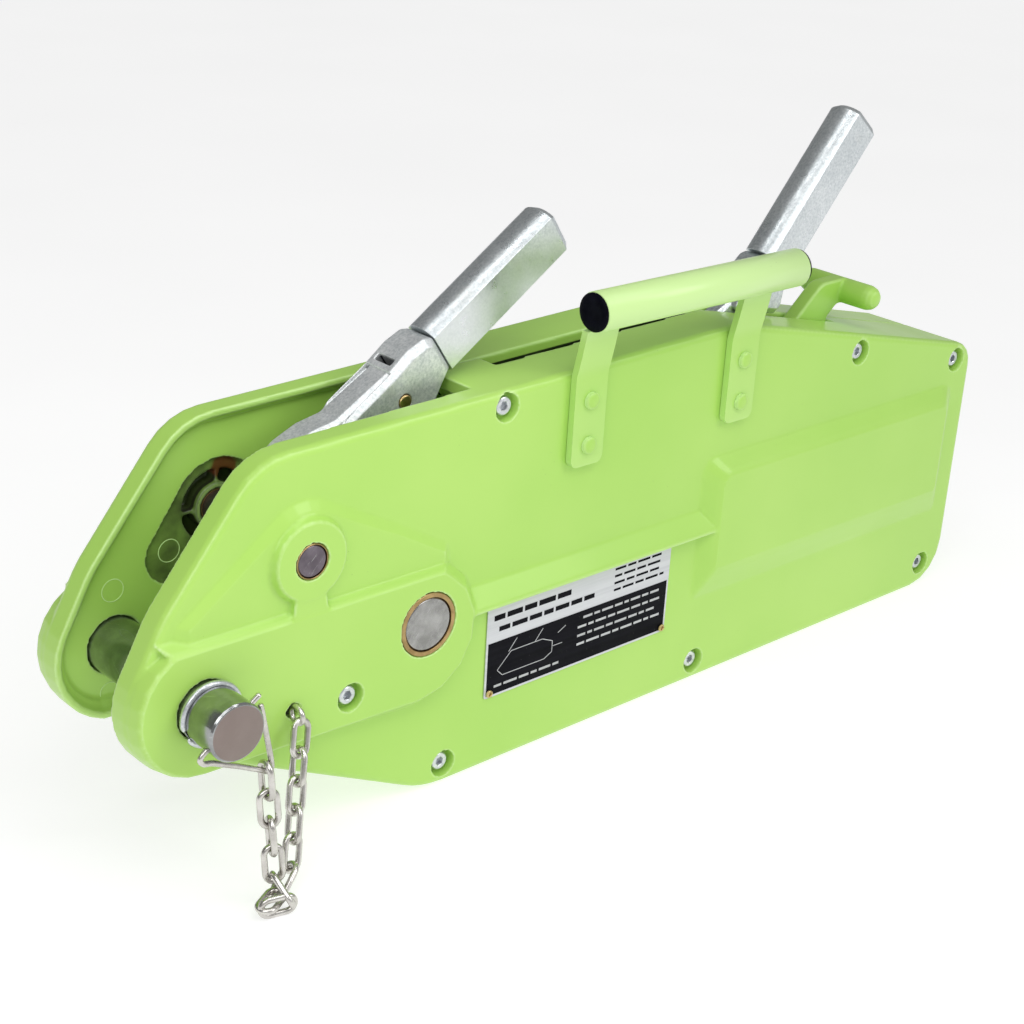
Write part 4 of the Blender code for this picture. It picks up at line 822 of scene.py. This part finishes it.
def make_plate():
    """Printed plate: silver band over a black field, blank bars and a plain line drawing, no lettering."""
    sheet, field, dark, pale = (bmesh.new() for _ in range(4))
    corners = []
    for x, z, start in ((39.5, 101.5, 0), (-103.5, 101.5, 90), (-103.5, 45.5, 180), (39.5, 45.5, 270)):
        angles = [math.radians(start + 30 * k) for k in range(4)]
        corners += [(x + 1.5 * math.cos(a), z + 1.5 * math.sin(a)) for a in angles]
    add_plan(sheet, corners, -42.3, -42.85)
    make(sheet, "name_plate_sheet", "plate_silver", "root", ("name_plate",), angle=30.0)
    add_plan(field, [(-103.6, 45.4), (39.6, 45.4), (39.6, 78.5), (-103.6, 78.5)], PLATE_Y, -42.91)
    make(field, "name_plate_field", "plate_black", "root", ("name_plate",))
    count = 0
    for row in ((98.0, -6.0, 36.0, 1.5), (93.5, -6.0, 36.0, 1.5), (89.0, -6.0, 36.0, 1.5),
                (84.5, -6.0, 36.0, 1.5), (93.5, -100.0, -40.0, 3.4), (86.0, -96.0, -22.0, 3.0)):
        count = add_bars(dark, count, row, (4.0 + row[3], 5.5), 1.6, ENTRY_LAYER)
    for z, x0, x1 in ((74.0, -30.0, 33.0), (68.4, -34.0, 34.0), (62.8, -34.0, 30.0), (57.2, -34.0, 35.0),
                      (50.2, -98.0, -48.0)):
        count = add_bars(pale, count, (z, x0, x1, 1.5), (3.5, 7.0), 1.7, LINE_LAYER)
    make(dark, "name_plate_entries", "plate_black", "root", ("name_plate",))
    drawing = [(-96.0, 60.0), (-92.0, 56.0), (-60.0, 56.0), (-54.0, 59.0), (-54.0, 66.0), (-62.0, 69.5),
               (-86.0, 69.5)]
    strokes = list(zip(drawing, drawing[1:] + drawing[:1]))
    strokes += [((-88.0, 69.5), (-82.0, 76.5)), ((-68.0, 69.5), (-62.0, 76.5)),
                ((-54.0, 62.5), (-46.0, 62.5)), ((-50.0, 70.0), (-44.0, 73.0))]
    for start, end in strokes:
        add_stroke(pale, start, end)
    make(pale, "name_plate_rows", "plate_line", "root", ("name_plate",))


# ---------------------------------------------------------------- stage
def make_stage():
    """Pale floor, faintly bright by itself so that it stays even."""
    floor = Paint("floor", roughness=0.8)
    shade = floor.ramp(floor.noise(3.0, 3.0), (0.3, 0.43), (0.7, 0.46))
    floor.bump((floor.noise(60.0, 2.0), 0.02))
    floor.shader.inputs["Emission Color"].default_value = (1.0, 1.0, 1.0, 1.0)
    floor.shader.inputs["Emission Strength"].default_value = 0.69
    floor.finish(shade, 0.8)
    mesh = bpy.data.meshes.new("floor")
    corners = (-30, -30), (30, -30), (30, 30), (-30, 30)
    mesh.from_pydata([(x, y, -0.0004) for x, y in corners], [], [(0, 1, 2, 3)])
    mesh.materials.append(floor.material)
    ground = bpy.data.objects.new("floor", mesh)
    SCENE.collection.objects.link(ground)


def area_light(name, place, target, size, power):
    data = bpy.data.lights.new(name, "AREA")
    data.shape = "RECTANGLE"
    data.size, data.size_y = size
    data.energy = power
    lamp = bpy.data.objects.new(name, data)
    lamp.location = place
    lamp.rotation_euler = (Vector(target) - Vector(place)).to_track_quat("-Z", "Y").to_euler()
    SCENE.collection.objects.link(lamp)


def make_world():
    """White surroundings, dimmer on the far right than on the near left."""
    world = bpy.data.worlds.new("studio")
    SCENE.world = world
    world.use_nodes = True
    tree = world.node_tree
    tree.nodes["Background"].inputs["Color"].default_value = (1.0, 1.0, 1.0, 1.0)
    split = tree.nodes.new("ShaderNodeSeparateXYZ")
    tree.links.new(tree.nodes.new("ShaderNodeTexCoord").outputs["Generated"], split.inputs[0])
    lean = tree.nodes.new("ShaderNodeMath")
    lean.operation = "MULTIPLY_ADD"
    lean.inputs[1].default_value = -0.45
    tree.links.new(split.outputs["X"], lean.inputs[0])
    tree.links.new(split.outputs["Y"], lean.inputs[2])
    sweep = tree.nodes.new("ShaderNodeMapRange")
    sweep.inputs["From Min"].default_value = 0.80
    sweep.inputs["From Max"].default_value = -0.90
    sweep.inputs["To Min"].default_value = 0.22
    sweep.inputs["To Max"].default_value = 0.46
    sweep.interpolation_type = "SMOOTHSTEP"
    tree.links.new(lean.outputs[0], sweep.inputs["Value"])
    tree.links.new(sweep.outputs["Result"], tree.nodes["Background"].inputs["Strength"])


def make_light():
    sun = bpy.data.lights.new("key", "SUN")
    sun.energy = 0.54
    sun.angle = math.radians(25.0)
    lamp = bpy.data.objects.new("key", sun)
    lamp.rotation_euler = Vector((-0.50, 0.74, -0.50)).to_track_quat("-Z", "Y").to_euler()
    SCENE.collection.objects.link(lamp)
    area_light("upper_box", (-0.22, -0.52, 0.92), (-0.08, 0.0, 0.18), (1.0, 0.30), 2.4)
    area_light("overhead_strip", (-0.15, -0.15, 1.25), (-0.05, 0.0, 0.1), (1.5, 0.12), 2.6)
    area_light("left_box", (-0.80, -0.42, 0.62), (-0.30, 0.02, 0.14), (0.45, 0.30), 1.6)
    SCENE.view_settings.view_transform = "Standard"
    SCENE.view_settings.look = "None"
    SCENE.view_settings.exposure = 0.0
    SCENE.view_settings.gamma = 1.0


def make_camera():
    data = bpy.data.cameras.new("camera")
    data.lens = 64.87
    data.sensor_width = 36.0
    camera = bpy.data.objects.new("camera", data)
    turn = Matrix(((0.74473, 0.22852, -0.62702), (-0.66529, 0.32827, -0.67054), (0.05260, 0.91652, 0.39651)))
    camera.matrix_world = Matrix.Translation((-0.720, -0.715, 0.5535)) @ turn.to_4x4()
    SCENE.collection.objects.link(camera)
    SCENE.camera = camera


MATERIALS = make_materials()
make_camera()
make_stage()
make_world()
make_light()
dress_casings()
make_shafts()
make_pin()
make_snap_ring()
make_clip()
make_chain()
make_chain_eye()
make_screws()
make_rivets()
make_handle()
make_straps()
make_rope_guide()
make_mould_marks()
make_plate()
